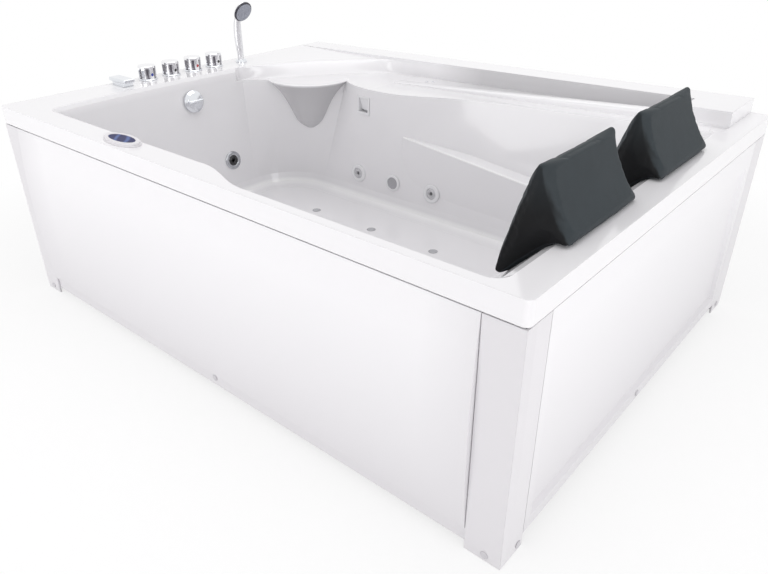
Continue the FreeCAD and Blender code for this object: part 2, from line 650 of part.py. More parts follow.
# ------------------------------------------------------------------ jets
jet_places = [facing(*seat) for seat in jet_seats]
bezel = turned("jet_bezel_pattern", [
    ("nozzle_radius + fit_gap", "jet_proud - 1"), ("nozzle_radius + fit_gap", "-sleeve_length"),
    ("sleeve_radius", "-sleeve_length"), ("sleeve_radius", "seat_gap"), ("jet_flange", "seat_gap"),
    ("jet_flange", "jet_proud / 2"), ("jet_flange - 4", "jet_proud"), ("nozzle_radius + 3", "jet_proud")])
nozzle = turned("jet_nozzle_pattern", [
    ("nozzle_bore", "jet_proud - 3"), ("nozzle_bore", "-0.7 * sleeve_length"),
    ("nozzle_radius - 4", "-0.7 * sleeve_length"), ("nozzle_radius", "-0.4 * sleeve_length"),
    ("nozzle_radius", "jet_proud - 2"), ("nozzle_bore + 6", "jet_proud + 1"),
    ("nozzle_bore + 3", "jet_proud + 1")])
cup = turned("jet_cup_pattern", [
    ("sleeve_radius + fit_gap", "-pad_depth - seat_gap"), ("jet_cup", "-pad_depth - seat_gap"),
    ("jet_cup", "pipe_radius - jet_depth"), ("0", "pipe_radius - jet_depth"),
    ("0", "-sleeve_length - seat_gap"), ("sleeve_radius + fit_gap", "-sleeve_length - seat_gap")])
bezel_shape, nozzle_shape, cup_shape = [solid_of(body) for body in (bezel, nozzle, cup)]
slot_length = 2 * s.nozzle_radius - 8
nozzle_shape = nozzle_shape.cut(Part.makeBox(slot_length, s.nozzle_slot, s.jet_proud, Vector(
    -slot_length / 2, -s.nozzle_slot / 2, s.jet_proud)))
feature("jet_bezels", Part.makeCompound([placed(bezel_shape, place) for place in jet_places]))
for i, place in enumerate(jet_places, start=1):
    one = feature(f"jet_nozzle_{i}", nozzle_shape)
    one.Placement = place

jet_cores = [behind(seat, s.jet_depth) for seat in jet_seats]
runs = [(jet_cores[0] - jet_cores[1]).normalize(), (jet_cores[3] - jet_cores[2]).normalize(),
        (jet_cores[5] - jet_cores[4]).normalize()]
collar_radius = s.pipe_radius + s.collar_wall
air_collar = s.air_pipe_radius + s.collar_wall
up_to_air = Vector(0, 0, s.air_pipe_rise)
bodies = []
for i, (place, core) in enumerate(zip(jet_places, jet_cores)):
    half = runs[i // 2] * (s.collar_length / 2)
    body = placed(cup_shape, place).fuse([
        rod(core - half, core + half, collar_radius),
        rod(core, core + up_to_air, s.air_pipe_radius),
        rod(core + up_to_air - half * 0.5, core + up_to_air + half * 0.5, air_collar)])
    body = body.cut(rod(core - half * 1.1, core + half * 1.1, s.pipe_radius + s.seat_gap))
    bodies.append(body.cut(rod(core + up_to_air - half, core + up_to_air + half,
                               s.air_pipe_radius + s.seat_gap)))
feature("jet_bodies", Part.makeCompound(bodies))

# ------------------------------------------------------------------ lamp, suction, inlet, injectors
housing = turned("lamp_housing", [
    ("lamp_lens + fit_gap", "jet_proud"), ("lamp_lens + fit_gap", "-sleeve_length / 2"),
    ("0", "-sleeve_length / 2"), ("0", "-lamp_depth"), ("lamp_lens + 2", "-lamp_depth"),
    ("lamp_lens + 2", "seat_gap"), ("lamp_flange", "seat_gap"), ("lamp_flange", "jet_proud / 2"),
    ("lamp_flange - 3", "jet_proud")])
lens = turned("lamp_lens", [
    ("0", "jet_proud - 1"), ("lamp_lens", "jet_proud - 2"), ("lamp_lens", "-sleeve_length / 3"),
    ("0", "-sleeve_length / 3")])
for body in (housing, lens):
    body.Placement = facing(*lamp_seat)
    nodes.append(body)

cover = turned("suction_cover_pattern", [
    ("0", "jet_proud + 6"), ("suction_flange - 12", "jet_proud + 4"), ("suction_flange", "jet_proud - 2"),
    ("suction_flange", "seat_gap"), ("suction_neck + 1", "seat_gap"), ("suction_neck + 1", "jet_proud"),
    ("0", "jet_proud")])
suction_neck = turned("suction_neck_pattern", [
    ("suction_neck - 4", "seat_gap"), ("suction_neck", "seat_gap"), ("suction_neck", "-pad_depth - seat_gap"),
    ("suction_cup", "-pad_depth - seat_gap"), ("suction_cup", "-suction_depth"), ("0", "-suction_depth"),
    ("0", "-suction_depth + 4"), ("suction_neck - 4", "-suction_depth + 4")])
suction_core = behind(suction_seat, s.suction_depth)
slots = []
for i in range(int(s.suction_slots)):
    slot = Part.makeBox(s.suction_neck - 14, s.nozzle_slot, 20, Vector(8, -s.nozzle_slot / 2, 0))
    slot.rotate(Vector(0, 0, 0), Vector(0, 0, 1), 360 * i / s.suction_slots)
    slots.append(slot)
one = feature("suction_cover", solid_of(cover).cut(slots))
one.Placement = facing(*suction_seat)
socket_foot = suction_core - Vector(0, 0, s.collar_length / 2 + 4)
suction_body = placed(solid_of(suction_neck), facing(*suction_seat))
suction_body = suction_body.fuse(rod(socket_foot, suction_core + Vector(0, 0, collar_radius), collar_radius))
suction_body = suction_body.cut(rod(socket_foot, suction_core + Vector(0, 0, 10), s.pipe_radius + s.seat_gap))
feature("suction_body", suction_body)

half_inlet = s.inlet_size / 2
half_mouth = half_inlet - s.inlet_frame
frame_plate = box_between(Vector(-half_inlet, -half_inlet, s.seat_gap),
                          Vector(half_inlet, half_inlet, s.inlet_wall))
half_throat = half_mouth - s.inlet_wall
pan = box_between(Vector(-half_mouth, -half_mouth, -s.inlet_depth), Vector(half_mouth, half_mouth, 1))
mouth = box_between(Vector(-half_throat, -half_throat, s.inlet_wall - s.inlet_depth),
                    Vector(half_throat, half_throat, 5))
back_way = Vector(0, 0, -1)
spigot = Part.makeCylinder(s.link_radius, s.inlet_spigot, Vector(0, 0, -s.inlet_depth), back_way)
spigot_bore = Part.makeCylinder(s.link_radius - s.pipe_wall, 2 * s.inlet_spigot,
                                Vector(0, 0, 2 * s.inlet_wall - s.inlet_depth), back_way)
one = feature("wall_inlet", frame_plate.fuse([pan, spigot]).cut([mouth, spigot_bore]))
one.Placement = facing(*inlet_seat)

injector = turned("injector_pattern", [
    ("0", "3"), ("injector_cap - 5", "2.5"), ("injector_cap", "seat_gap"), ("injector_stem", "seat_gap"),
    ("injector_stem", "floor_air_height - floor_top"), ("0", "floor_air_height - floor_top")])
injector_shape = solid_of(injector)
injectors = []
for place in injector_places:
    at_pipe = Vector(place.x, place.y, s.floor_air_height)
    reach = Vector(s.collar_length / 4, 0, 0)
    one = placed(injector_shape, Placement(place, Rotation()))
    one = one.fuse(rod(at_pipe - reach, at_pipe + reach, s.floor_air_radius + s.injector_collar))
    injectors.append(one.cut(rod(at_pipe - reach * 2, at_pipe + reach * 2,
                                 s.floor_air_radius + s.seat_gap)))
feature("air_injectors", Part.makeCompound(injectors))

stream = turned("stream_nozzle_pattern", [
    ("0", "2"), ("stream_radius + 1", "1"), ("stream_radius + 1", "seat_gap"), ("stream_radius", "seat_gap"),
    ("stream_radius", "-20"), ("0", "-20")])
stream_shape = solid_of(stream)
feature("stream_nozzles", Part.makeCompound(
    [placed(stream_shape, Placement(place, Rotation())) for place in stream_places]))

# ------------------------------------------------------------------ waste and overflow
waste_ring = turned("waste_ring_pattern", [
    ("waste_tube - waste_wall", "2"), ("waste_flange", "1.5"), ("waste_flange", "seat_gap"),
    ("waste_tube", "seat_gap"), ("waste_tube", "trap_top + seat_gap - floor_top"),
    ("waste_tube - waste_wall", "trap_top + seat_gap - floor_top")])
waste_low = Vector(waste_place.x, waste_place.y, s.overflow_entry)
tee_start = waste_low - Vector(s.waste_tube + 34, 0, 0)
pipe_stop = waste_low - Vector(s.waste_tube + 6, 0, 0)
tee_wall = s.overflow_pipe + s.overflow_socket
waste = placed(solid_of(waste_ring), Placement(waste_place, Rotation())).fuse(
    rod(tee_start, waste_low, tee_wall))
waste = waste.cut([rod(tee_start, pipe_stop, s.overflow_pipe + s.seat_gap),
                   rod(waste_place + Vector(0, 0, 9), waste_low - Vector(0, 0, 60),
                       s.waste_tube - s.waste_wall),
                   rod(tee_start, waste_low, s.overflow_pipe - s.overflow_socket)])
feature("waste_body", waste)
plug = turned("drain_plug", [
    ("0", "5"), ("waste_tube - 2 * waste_wall", "4"), ("waste_tube - waste_wall - fit_gap", "2.2"),
    ("waste_tube - waste_wall - fit_gap", "-3"), ("4", "-6"), ("4", "-40"), ("0", "-40")])
plug.Placement = Placement(waste_place, Rotation())
nodes.append(plug)

trap_foot = Vector(waste_place.x, waste_place.y, s.trap_bottom)
trap_head = Vector(waste_place.x, waste_place.y, s.trap_top)
outlet_start = Vector(waste_place.x, waste_place.y, s.outlet_height)
outlet_end = outlet_start - Vector(s.outlet_reach, 0, 0)
nut_end = outlet_end + Vector(s.outlet_spigot, 0, 0)
wall_rise = Vector(0, 0, s.pipe_wall)
trap = rod(trap_foot, trap_head, s.trap_radius).fuse([
    rod(outlet_start, outlet_end, s.outlet_radius),
    rod(outlet_start, nut_end, s.outlet_radius + s.outlet_nut)])
trap = trap.cut([rod(trap_foot + wall_rise, trap_head - wall_rise, s.trap_radius - s.pipe_wall),
                 rod(outlet_start, outlet_end, s.outlet_radius - s.pipe_wall),
                 rod(trap_foot + wall_rise, trap_head, s.waste_tube - s.waste_wall)])
feature("waste_trap", trap)

overflow_place = facing(*overflow_seat)
slope_top = overflow_seat[0]
slope_low = wall_hit(Vector(0, s.overflow_y, foot_height), INTO_LEFT)
down_wall = (slope_low - slope_top).normalize()
overflow_core = behind(overflow_seat, s.overflow_depth)
overflow_neck = turned("overflow_neck_pattern", [
    ("overflow_neck - 6", "3"), ("overflow_neck + 8", "3"), ("overflow_neck + 8", "seat_gap"),
    ("overflow_neck", "seat_gap"), ("overflow_neck", "-shell_wall - seat_gap - 0.5"),
    ("overflow_neck + 8", "-shell_wall - seat_gap - 0.5"), ("overflow_neck + 8", "-overflow_depth"),
    ("overflow_neck - 6", "-overflow_depth")])
overflow = placed(solid_of(overflow_neck), overflow_place).fuse([
    rod(overflow_core - down_wall * 22, overflow_core + down_wall * 50, tee_wall)])
overflow = overflow.cut([
    rod(overflow_core + down_wall * 12, overflow_core + down_wall * 60, s.overflow_pipe + s.seat_gap),
    rod(overflow_core - down_wall * 14, overflow_core + down_wall * 20,
        s.overflow_pipe - s.overflow_socket),
    rod(overflow_core + overflow_seat[1] * 60, overflow_core, s.overflow_neck - 6)])
feature("overflow_body", overflow)
handle = turned("overflow_knob_pattern", [
    ("0", "20"), ("overflow_knob - 9", "18"), ("overflow_knob", "12"), ("overflow_knob", "4"),
    ("6", "4"), ("6", "-14"), ("0", "-14")])
bar = box_between(Vector(-s.overflow_knob + 8, -5, 14), Vector(s.overflow_knob - 8, 5, 26))
bar = bar.makeFillet(3, [edge for edge in bar.Edges if edge.BoundBox.ZMin > 20])
one = feature("overflow_knob", solid_of(handle).fuse(bar))
one.Placement = overflow_place
overflow_points = [overflow_core + down_wall * 14,
                   behind((slope_low, overflow_seat[1]), s.overflow_depth) - down_wall * 20,
                   Vector(slope_low.x - s.overflow_depth, s.rim_middle, s.overflow_entry),
                   pipe_stop - Vector(2, 0, 0)]
feature("overflow_pipe", tube(overflow_points, s.overflow_pipe, s.overflow_pipe - s.pipe_wall, s.pipe_bend))

# ------------------------------------------------------------------ taps, filler and hand shower
valve = turned("valve_pattern", [
    ("0", "tap_knob_height / 2"), ("tap_stem", "tap_knob_height / 2"), ("tap_stem", "tap_base_height"),
    ("tap_base - 2", "tap_base_height"), ("tap_base", "tap_base_height - 2"), ("tap_base", "seat_gap"),
    ("tap_sleeve", "seat_gap"), ("tap_sleeve", "-shell_wall - seat_gap"),
    ("tap_base - 6", "-shell_wall - seat_gap"), ("tap_base - 6", "-shell_wall - nut_height"),
    ("tap_body", "-shell_wall - nut_height"), ("tap_body", "tap_thread_length - tap_depth"),
    ("tap_thread", "tap_thread_length - tap_depth"), ("tap_thread", "-tap_depth"), ("0", "-tap_depth")])
valve_shape = solid_of(valve)
inlet_foot = Vector(0, 0, -s.tap_depth - s.tap_thread_length / 2)
inlet_core = inlet_foot + UPWARDS * s.tap_body
inlet_seat_x = s.tap_body + s.tap_sleeve - s.tap_thread
inlet_collar = rod(inlet_core, inlet_core - ALONG * inlet_seat_x, s.tap_sleeve)
inlet_tail = rod(inlet_core, inlet_core - ALONG * (inlet_seat_x + s.tap_thread_length), s.tap_thread)
inlet_valve = valve_shape.fuse([rod(UPWARDS * (-s.tap_depth / 2), inlet_foot, s.tap_body),
                                inlet_collar, inlet_tail])
valve_shapes = [inlet_valve, valve_shape, inlet_valve, valve_shape]
feature("deck_valves", Part.makeCompound(
    [placed(shape, Placement(place, Rotation())) for shape, place in zip(valve_shapes, tap_places)]))
knob = turned("tap_knob_pattern", [
    ("tap_stem + fit_gap", "tap_base_height + seat_gap"), ("tap_knob", "tap_base_height + seat_gap"),
    ("tap_knob", "tap_base_height + tap_knob_height - 2"),
    ("tap_knob - 2", "tap_base_height + tap_knob_height"), ("0", "tap_base_height + tap_knob_height"),
    ("0", "tap_knob_height / 2 + 1"), ("tap_stem + fit_gap", "tap_knob_height / 2 + 1")])
flutes = []
for i in range(int(s.tap_flutes)):
    flute = Part.makeCylinder(0.42 * s.tap_knob, s.tap_knob_height - 8,
                              Vector(1.24 * s.tap_knob, 0, s.tap_base_height))
    flute.rotate(Vector(0, 0, 0), Vector(0, 0, 1), 360 * (i + 0.5) / s.tap_flutes)
    flutes.append(flute)
knob_shape = solid_of(knob).cut(flutes)
for label, place in zip(("cold_tap_knob", "diverter_knob", "hot_tap_knob", "air_control_knob"), tap_places):
    one = feature(label, knob_shape)
    one.Placement = Placement(place, Rotation())

link_height = s.deck_top - 0.55 * s.tap_depth
link_ends = [filler_place] + tap_places[:3]
link_gap = s.tap_body + s.seat_gap
links = []
for first, last in zip(link_ends[:-1], link_ends[1:]):
    links.append(rod(Vector(tap_x, first.y + link_gap, link_height),
                     Vector(tap_x, last.y - link_gap, link_height), s.link_radius))
feature("mixer_links", Part.makeCompound(links))

half_filler = s.filler_width / 2
foot_block = box_between(Vector(-0.3 * s.filler_length, -0.44 * s.filler_width, s.seat_gap),
                         Vector(0.42 * s.filler_length, 0.44 * s.filler_width, s.filler_height / 2))
top_block = box_between(Vector(-0.46 * s.filler_length, -half_filler, s.filler_height / 2),
                        Vector(0.54 * s.filler_length, half_filler, s.filler_height))
top_block = top_block.makeFillet(3, top_block.Edges)
filler_stem = Part.makeCylinder(s.tap_sleeve, s.tap_depth, Vector(0, 0, -s.tap_depth + 1))
nut_low = -s.shell_wall - s.seat_gap - s.nut_height
filler_nut = Part.makeCylinder(s.tap_base - 6, s.nut_height, Vector(0, 0, nut_low))
tee_rise = 3 * s.link_radius
filler_tee = Part.makeCylinder(s.tap_body, tee_rise, Vector(
    tap_x - filler_x, 0, link_height - s.deck_top - tee_rise / 2))
one = feature("deck_filler", foot_block.fuse([top_block, filler_stem, filler_nut, filler_tee]))
one.Placement = Placement(filler_place, Rotation())

socket_body = turned("shower_socket", [
    ("shower_handle + fit_gap", "shower_base_height"), ("shower_base - 3", "shower_base_height"),
    ("shower_base", "3"), ("shower_base", "seat_gap"), ("shower_sleeve", "seat_gap"),
    ("shower_sleeve", "-shell_wall - seat_gap"), ("shower_base", "-shell_wall - seat_gap"),
    ("shower_base", "-shell_wall - nut_height"), ("shower_sleeve", "-shell_wall - nut_height"),
    ("shower_sleeve", "-shower_socket_depth"), ("0", "-shower_socket_depth"),
    ("0", "shower_socket_floor - shower_socket_depth"),
    ("shower_handle + fit_gap", "shower_socket_floor - shower_socket_depth")])
socket_body.Placement = Placement(shower_place, Rotation())
nodes.append(socket_body)

grip_low = s.shower_socket_floor + s.seat_gap - s.shower_socket_depth
grip_foot = rod(Vector(0, 0, grip_low), Vector(0, 0, s.shower_base_height), s.shower_handle)
grip = []
for share, bow, swell in ((0, 0, 1.0), (0.25, -0.06, 1.2), (0.55, -0.1, 1.3), (0.82, 0.06, 1.1),
                          (1, 0.46, 0.85)):
    centre = Vector(bow * s.shower_lean, 0, s.shower_base_height + share * (
        s.shower_height + 6 - s.shower_base_height))
    grip.append(Part.Wire(Part.makeCircle(s.shower_handle * swell, centre)))
grip_shape = grip_foot.fuse(Part.makeLoft(grip, True, False))
head_tilt = math.radians(s.shower_tilt)
face_way = Vector(math.cos(head_tilt), 0, -math.sin(head_tilt))
head_centre = Vector(s.shower_lean, 0, s.shower_height)
rose = turned("shower_rose_pattern", [
    ("0", "0"), ("shower_head - 3", "0"), ("shower_head", "-3"), ("shower_head", "-9"),
    ("shower_head - 12", "-20"), ("0.4 * shower_head", "-29"), ("0", "-29")])
rose_shape = placed(solid_of(rose), facing(head_centre, face_way))
one = feature("hand_shower", grip_shape.fuse(rose_shape).removeSplitter())
one.Placement = Placement(shower_place, Rotation())

# ------------------------------------------------------------------ control panel
origin = Vector(0, 0, 0)
low_rim = oval(origin, s.panel_length / 2, s.panel_width / 2, s.seat_gap, 0.45 * s.panel_height)
top_rim = oval(origin, s.panel_length / 2 - s.panel_rim, s.panel_width / 2 - s.panel_rim,
               0.45 * s.panel_height, s.panel_height)
core = oval(origin, panel_core_x, panel_core_y, -s.panel_depth, 1)
recess = oval(origin, s.display_length / 2 + s.fit_gap, s.display_width / 2 + s.fit_gap,
              s.panel_height - s.display_sunk, s.panel_height + 1)
one = feature("panel_bezel", low_rim.fuse([top_rim, core]).cut(recess))
one.Placement = Placement(panel_place, Rotation())
one = feature("panel_display", oval(origin, s.display_length / 2, s.display_width / 2,
                                    s.panel_height - s.display_sunk + s.seat_gap, s.panel_height - 1))
one.Placement = Placement(panel_place, Rotation())

# ------------------------------------------------------------------ head pillows
slope = (shoulder_head - break_head) / (shoulder_height - s.backrest_break_height)


def on_backrest(height, off):
    """A point of the XZ profile lying off the upper backrest, at a height."""
    x = break_head + slope * (height - s.backrest_break_height)
    return Vector(x - off * 1.42, 0, height)


def near_crown(forward, down):
    """A point of the XZ profile given from the pillow's highest point."""
    return Vector(half_length - s.pillow_inset - forward, 0, s.deck_top + s.pillow_rise - down)


tip = on_backrest(s.deck_top - s.pillow_below_deck, s.pillow_gap)
heel = on_backrest(shoulder_height, s.pillow_gap)
nose = tip + Vector(-14, 0, 2)
deck_heel = Vector(rim_head + 19, 0, s.deck_top + 2)
deck_heel_top = deck_heel + Vector(1, 0, 10)
crown = near_crown(0, 0)
brow = near_crown(-13, 10)
profile = Part.Wire([
    Part.Arc(crown, near_crown(42, 108), nose).toShape(),
    Part.LineSegment(nose, tip).toShape(),
    Part.LineSegment(tip, heel).toShape(),
    Part.Arc(heel, Vector(rim_head - 8, 0, s.deck_top + 2.5), deck_heel).toShape(),
    Part.LineSegment(deck_heel, deck_heel_top).toShape(),
    Part.Arc(deck_heel_top, near_crown(-36, 73), brow).toShape(),
    Part.Arc(brow, near_crown(-9, 2), crown).toShape(),
])
middle = Part.Face(profile).CenterOfMass
rings = []
for along, share in ((0, s.pillow_end_share), (s.pillow_edge, 1), (s.pillow_length - s.pillow_edge, 1),
                     (s.pillow_length, s.pillow_end_share)):
    ring = profile.scaled(share, middle)
    ring.translate(Vector(0, along, 0))
    rings.append(ring)
pillow = Part.makeLoft(rings, True, True)
for label, start in (("pillow_near", s.pillow_near), ("pillow_far", s.pillow_far)):
    studs = [rod(Vector(stud_x, offset, tip.z), Vector(stud_x, offset, stud_top + s.fit_gap),
                 s.stud_radius + s.fit_gap) for offset in stud_offsets]
    one = feature(label, pillow.cut(studs))
    one.Placement = Placement(Vector(0, start, 0), Rotation())
stud_foot = s.backrest_break_height + (stud_x - break_head) / slope - 2.4 * s.shell_wall
studs = []
for place in stud_places:
    foot = Vector(place.x, place.y, stud_foot - 12)
    pin = rod(foot, Vector(place.x, place.y, stud_top), s.stud_radius)
    studs.append(pin.fuse(rod(foot, foot + Vector(0, 0, 8), s.stud_radius + 3)))
feature("pillow_studs", Part.makeCompound(studs))

# ------------------------------------------------------------------ aprons, posts and plinth
apron_top = lip_bottom - s.apron_gap
face_front = -half_width + s.post_set_back
face_right = half_length - s.post_set_back
left_post_x = -half_length + s.left_post_face
right_post_x = half_length - s.post_face


def post(label, corner_x, corner_y, reach_x, reach_y):
    """An L-shaped corner post standing on the floor; its corner is on the outside."""
    into_x = "post_wall" if corner_x[0] == "-" else "-post_wall"
    into_y = "post_wall" if corner_y[0] == "-" else "-post_wall"
    points = [(corner_x, corner_y), (reach_x, corner_y), (reach_x, f"{corner_y} + {into_y}"),
              (f"{corner_x} + {into_x}", f"{corner_y} + {into_y}"), (f"{corner_x} + {into_x}", reach_y),
              (corner_x, reach_y)]
    nodes.append(padded(label, points, "deck_top - lip_depth - apron_gap"))


left_x, right_x = "-bath_length / 2 + post_set_back", "bath_length / 2 - post_set_back"
front_y, back_y = "-bath_width / 2 + post_set_back", "bath_width / 2 - post_set_back"
post("corner_post", right_x, front_y, "bath_length / 2 - post_face", "-bath_width / 2 + post_side")
post("front_left_post", left_x, front_y, "-bath_length / 2 + left_post_face", "-bath_width / 2 + post_side")
post("rear_post", right_x, back_y, "bath_length / 2 - post_side", "bath_width / 2 - post_side")

plinth_back = "-bath_width / 2 + post_set_back + post_wall + plinth_depth"
nodes.append(padded("front_plinth", rectangle(
    "-bath_length / 2 + left_post_face - plinth_depth", "bath_length / 2 - post_face + plinth_depth",
    "-bath_width / 2 + post_set_back + post_wall + seat_gap", plinth_back),
    "apron_bottom - plinth_bottom - seat_gap", "plinth_bottom"))


def belly_profile(thin):
    """The front apron's YZ section: a bowed face in front of a flat back."""
    low, high = s.apron_bottom + thin, apron_top - thin
    front = face_front + thin
    back = face_front + s.apron_return + (1 if thin else 0)
    bulge = Vector(0, front - s.apron_belly, low + 0.58 * (high - low))
    return Part.Wire([
        Part.Arc(Vector(0, front, low), bulge, Vector(0, front, high)).toShape(),
        Part.LineSegment(Vector(0, front, high), Vector(0, back, high)).toShape(),
        Part.LineSegment(Vector(0, back, high), Vector(0, back, low)).toShape(),
        Part.LineSegment(Vector(0, back, low), Vector(0, front, low)).toShape(),
    ])


apron_start = left_post_x + s.joint_gap
apron_length = right_post_x - s.joint_gap - apron_start
outer = Part.Face(belly_profile(0)).extrude(Vector(apron_length, 0, 0))
inner = Part.Face(belly_profile(s.apron_wall)).extrude(Vector(apron_length - 2 * s.apron_wall, 0, 0))
inner.translate(Vector(s.apron_wall, 0, 0))
one = feature("front_apron", outer.cut(inner))
one.Placement = Placement(Vector(apron_start, 0, 0), Rotation())

side_start = -half_width + s.post_side + s.joint_gap
side_end = half_width - s.post_side - s.joint_gap
side_back = face_right - s.apron_return
field_face = face_right - s.panel_recess
side_block = box_between(Vector(side_back, side_start, s.side_bottom),
                         Vector(face_right, side_end, apron_top))
cavity = box_between(Vector(side_back - 1, side_start + s.apron_wall, s.side_bottom + s.apron_wall),
                     Vector(face_right - s.apron_wall, side_end - s.apron_wall, apron_top - s.apron_wall))


def field_block(grow, depth_x, far_x):
    """The recessed field: its edges lean in by the recess depth."""
    rings = []
    for x, lean in ((depth_x, s.panel_recess), (far_x, 0)):
        y0, y1 = side_start + s.panel_frame + lean - grow, side_end - s.panel_frame - lean + grow
        z0, z1 = s.side_field_bottom + lean - grow, s.side_field_top - lean + grow
        corners = [Vector(x, y0, z0), Vector(x, y1, z0), Vector(x, y1, z1), Vector(x, y0, z1)]
        rings.append(Part.makePolygon(corners + corners[:1]))
    return Part.makeLoft(rings, True, True)


backing = field_block(s.apron_wall, field_face - s.apron_wall, face_right)
side_shape = side_block.cut(cavity.cut(backing)).cut(field_block(0, field_face, face_right + 0.01))
feature("side_apron", side_shape)

cap_places = [
    (Vector(4, face_front + s.post_wall + s.seat_gap, 0.55 * (s.plinth_bottom + s.apron_bottom)), INTO_FRONT),
    (Vector(right_post_x + 0.55 * s.post_face, face_front, s.cap_low), INTO_FRONT),
    (Vector(left_post_x - 0.5 * s.left_post_face, face_front, s.cap_low), INTO_FRONT),
    (Vector(face_right, -half_width + 0.8 * s.post_side, s.cap_low), Vector(1, 0, 0)),
    (Vector(face_right, half_width - 0.5 * s.post_side, s.cap_low), Vector(1, 0, 0)),
    (Vector(face_right, -19, 0.5 * (s.side_bottom + s.side_field_bottom)), Vector(1, 0, 0)),
]
cap = turned("screw_cap_pattern", [
    ("0", "cap_height"), ("0.7 * cap_radius", "cap_height"), ("cap_radius", "0.4 * cap_height"),
    ("cap_radius", "seat_gap"), ("0", "seat_gap")])
cap_shape = solid_of(cap)
feature("screw_caps", Part.makeCompound([placed(cap_shape, facing(*place)) for place in cap_places]))

# ------------------------------------------------------------------ steel frame, feet and board
frame_top = s.frame_bottom + s.tube
frame_x = half_length - s.frame_inset_side
frame_y = half_width - s.frame_inset_front
inner_rail = half_width - s.rail_from_back


def level_block(x0, x1, y0, y1):
    return box_between(Vector(x0, y0, s.frame_bottom), Vector(x1, y1, frame_top))


def upright(x, y, top):
    """A post that stands on the rails and carries the shell's deck."""
    return box_between(Vector(x, y, frame_top), Vector(x + s.tube, y + s.tube, top))


half_tube = s.tube / 2
cross_left, cross_right = s.cross_from_left - half_length, half_length - s.cross_from_right
cross_x = [-frame_x + half_tube, cross_left, s.cross_middle, cross_right, frame_x - half_tube]
rail_y = [-frame_y + half_tube, inner_rail, frame_y - half_tube]
bays = [level_block(x0 + half_tube, x1 - half_tube, y0 + half_tube, y1 - half_tube)
        for x0, x1 in zip(cross_x[:-1], cross_x[1:]) for y0, y1 in zip(rail_y[:-1], rail_y[1:])]
grid = level_block(-frame_x, frame_x, -frame_y, frame_y).cut(bays)
deck_seat = deck_under - s.seat_gap
middle_left = s.cross_middle - half_tube
uprights = [upright(-frame_x, -frame_y, deck_seat), upright(frame_x - s.tube, -frame_y, deck_seat),
            upright(s.mid_upright_x, -half_width + s.mid_upright_inset, deck_seat),
            upright(-frame_x, frame_y - s.tube, ledge_top(-frame_x) - s.shell_wall - s.seat_gap),
            upright(middle_left, frame_y - s.tube, ledge_top(middle_left) - s.shell_wall - s.seat_gap),
            upright(frame_x - s.tube, frame_y - s.tube, deck_seat)]
feature("steel_frame", grid.fuse(uprights))

foot = turned("foot_pattern", [
    ("0", "0"), ("foot_radius", "0"), ("foot_radius", "foot_height / 2"), ("foot_rod + 4", "foot_height"),
    ("foot_rod", "foot_height"), ("foot_rod", "frame_bottom - nut_height"),
    ("foot_rod + 5", "frame_bottom - nut_height"), ("foot_rod + 5", "frame_bottom - seat_gap"),
    ("0", "frame_bottom - seat_gap")])
foot_shape = solid_of(foot)
edge_y = frame_y - half_tube
foot_places = [(x, y) for x in (cross_x[0], s.cross_middle, cross_x[4]) for y in (-edge_y, edge_y)]
foot_places += [(x, y) for x in (cross_left, cross_right) for y in (s.foot_row_front, inner_rail)]
feature("levelling_feet", Part.makeCompound(
    [placed(foot_shape, Placement(Vector(x, y, 0), Rotation())) for x, y in foot_places]))

board_step = s.floor_round + s.board_inset
board_left, board_right = foot_left + board_step, foot_head - board_step
board_front, board_back = foot_front + board_step, foot_back - board_step
board = box_between(Vector(board_left, board_front, frame_top + s.seat_gap),
                    Vector(board_right, board_back, s.floor_top - s.shell_wall - s.seat_gap))
corners = [edge for edge in board.Edges if abs(edge.tangentAt(edge.FirstParameter).z) > 0.9]
board = board.makeChamfer(s.floor_corner / 3, corners)
board_holes = [drop_hole(place, s.injector_stem + s.injector_collar) for place in injector_places]
board_holes.append(drop_hole(waste_place, s.waste_flange))
feature("base_board", board.cut(board_holes))


def belly_inner(height):
    """How far forward the inside of the front apron stands at a height."""
    section = Part.Face(belly_profile(s.apron_wall))
    ray = Part.makeLine(Vector(0, 0, height), Vector(0, -half_width - 100, height))
    return min(vertex.Y for vertex in section.common(ray).Vertexes)


def bracket(x0, x1, y0, y1):
    low = s.frame_bottom + half_tube
    return box_between(Vector(x0, y0, low), Vector(x1, y1, low + s.bracket_thickness))


bracket_front = belly_inner(s.frame_bottom + half_tube) + s.seat_gap
rail_front = -frame_y - s.seat_gap
rail_right = frame_x + s.seat_gap
brackets = [bracket(x - half_tube, x + half_tube, bracket_front, rail_front)
            for x in (-s.bracket_reach, 0, s.bracket_reach)]
brackets += [bracket(rail_right, field_face - s.apron_wall - s.seat_gap, y - half_tube, y + half_tube)
             for y in (-s.side_bracket_reach, s.side_bracket_reach)]
post_inner_y = face_front + s.post_wall + s.seat_gap
post_inner_x = face_right - s.post_wall - s.seat_gap
brackets.append(bracket(-frame_x + 5, left_post_x - 15, post_inner_y, rail_front))
brackets.append(bracket(right_post_x + 20, frame_x, post_inner_y, rail_front))
brackets.append(bracket(rail_right, post_inner_x, half_width - s.post_side + 15, frame_y))
feature("apron_brackets", Part.makeCompound(brackets))

# ------------------------------------------------------------------ pump, blower and control box
tray_top = frame_top + s.seat_gap + s.tray_thickness
machine_base = tray_top + s.seat_gap
tray_front, tray_back = inner_rail, frame_y - 5
box_start = half_length - s.box_from_right
tray_spans = [(s.blower_x - s.blower_radius - 20, s.blower_x + s.blower_radius + 20),
              (s.pump_x - 30, s.pump_x + s.volute_length + s.motor_length + 20),
              (box_start - 20, box_start + s.box_length + 20)]
feature("equipment_trays", Part.makeCompound([
    box_between(Vector(x0, tray_front, frame_top + s.seat_gap), Vector(x1, tray_back, tray_top))
    for x0, x1 in tray_spans]))

axis_height = machine_base + s.pump_axis
pump_y = half_width - s.machines_from_back
pump_start = Vector(s.pump_x, pump_y, axis_height)


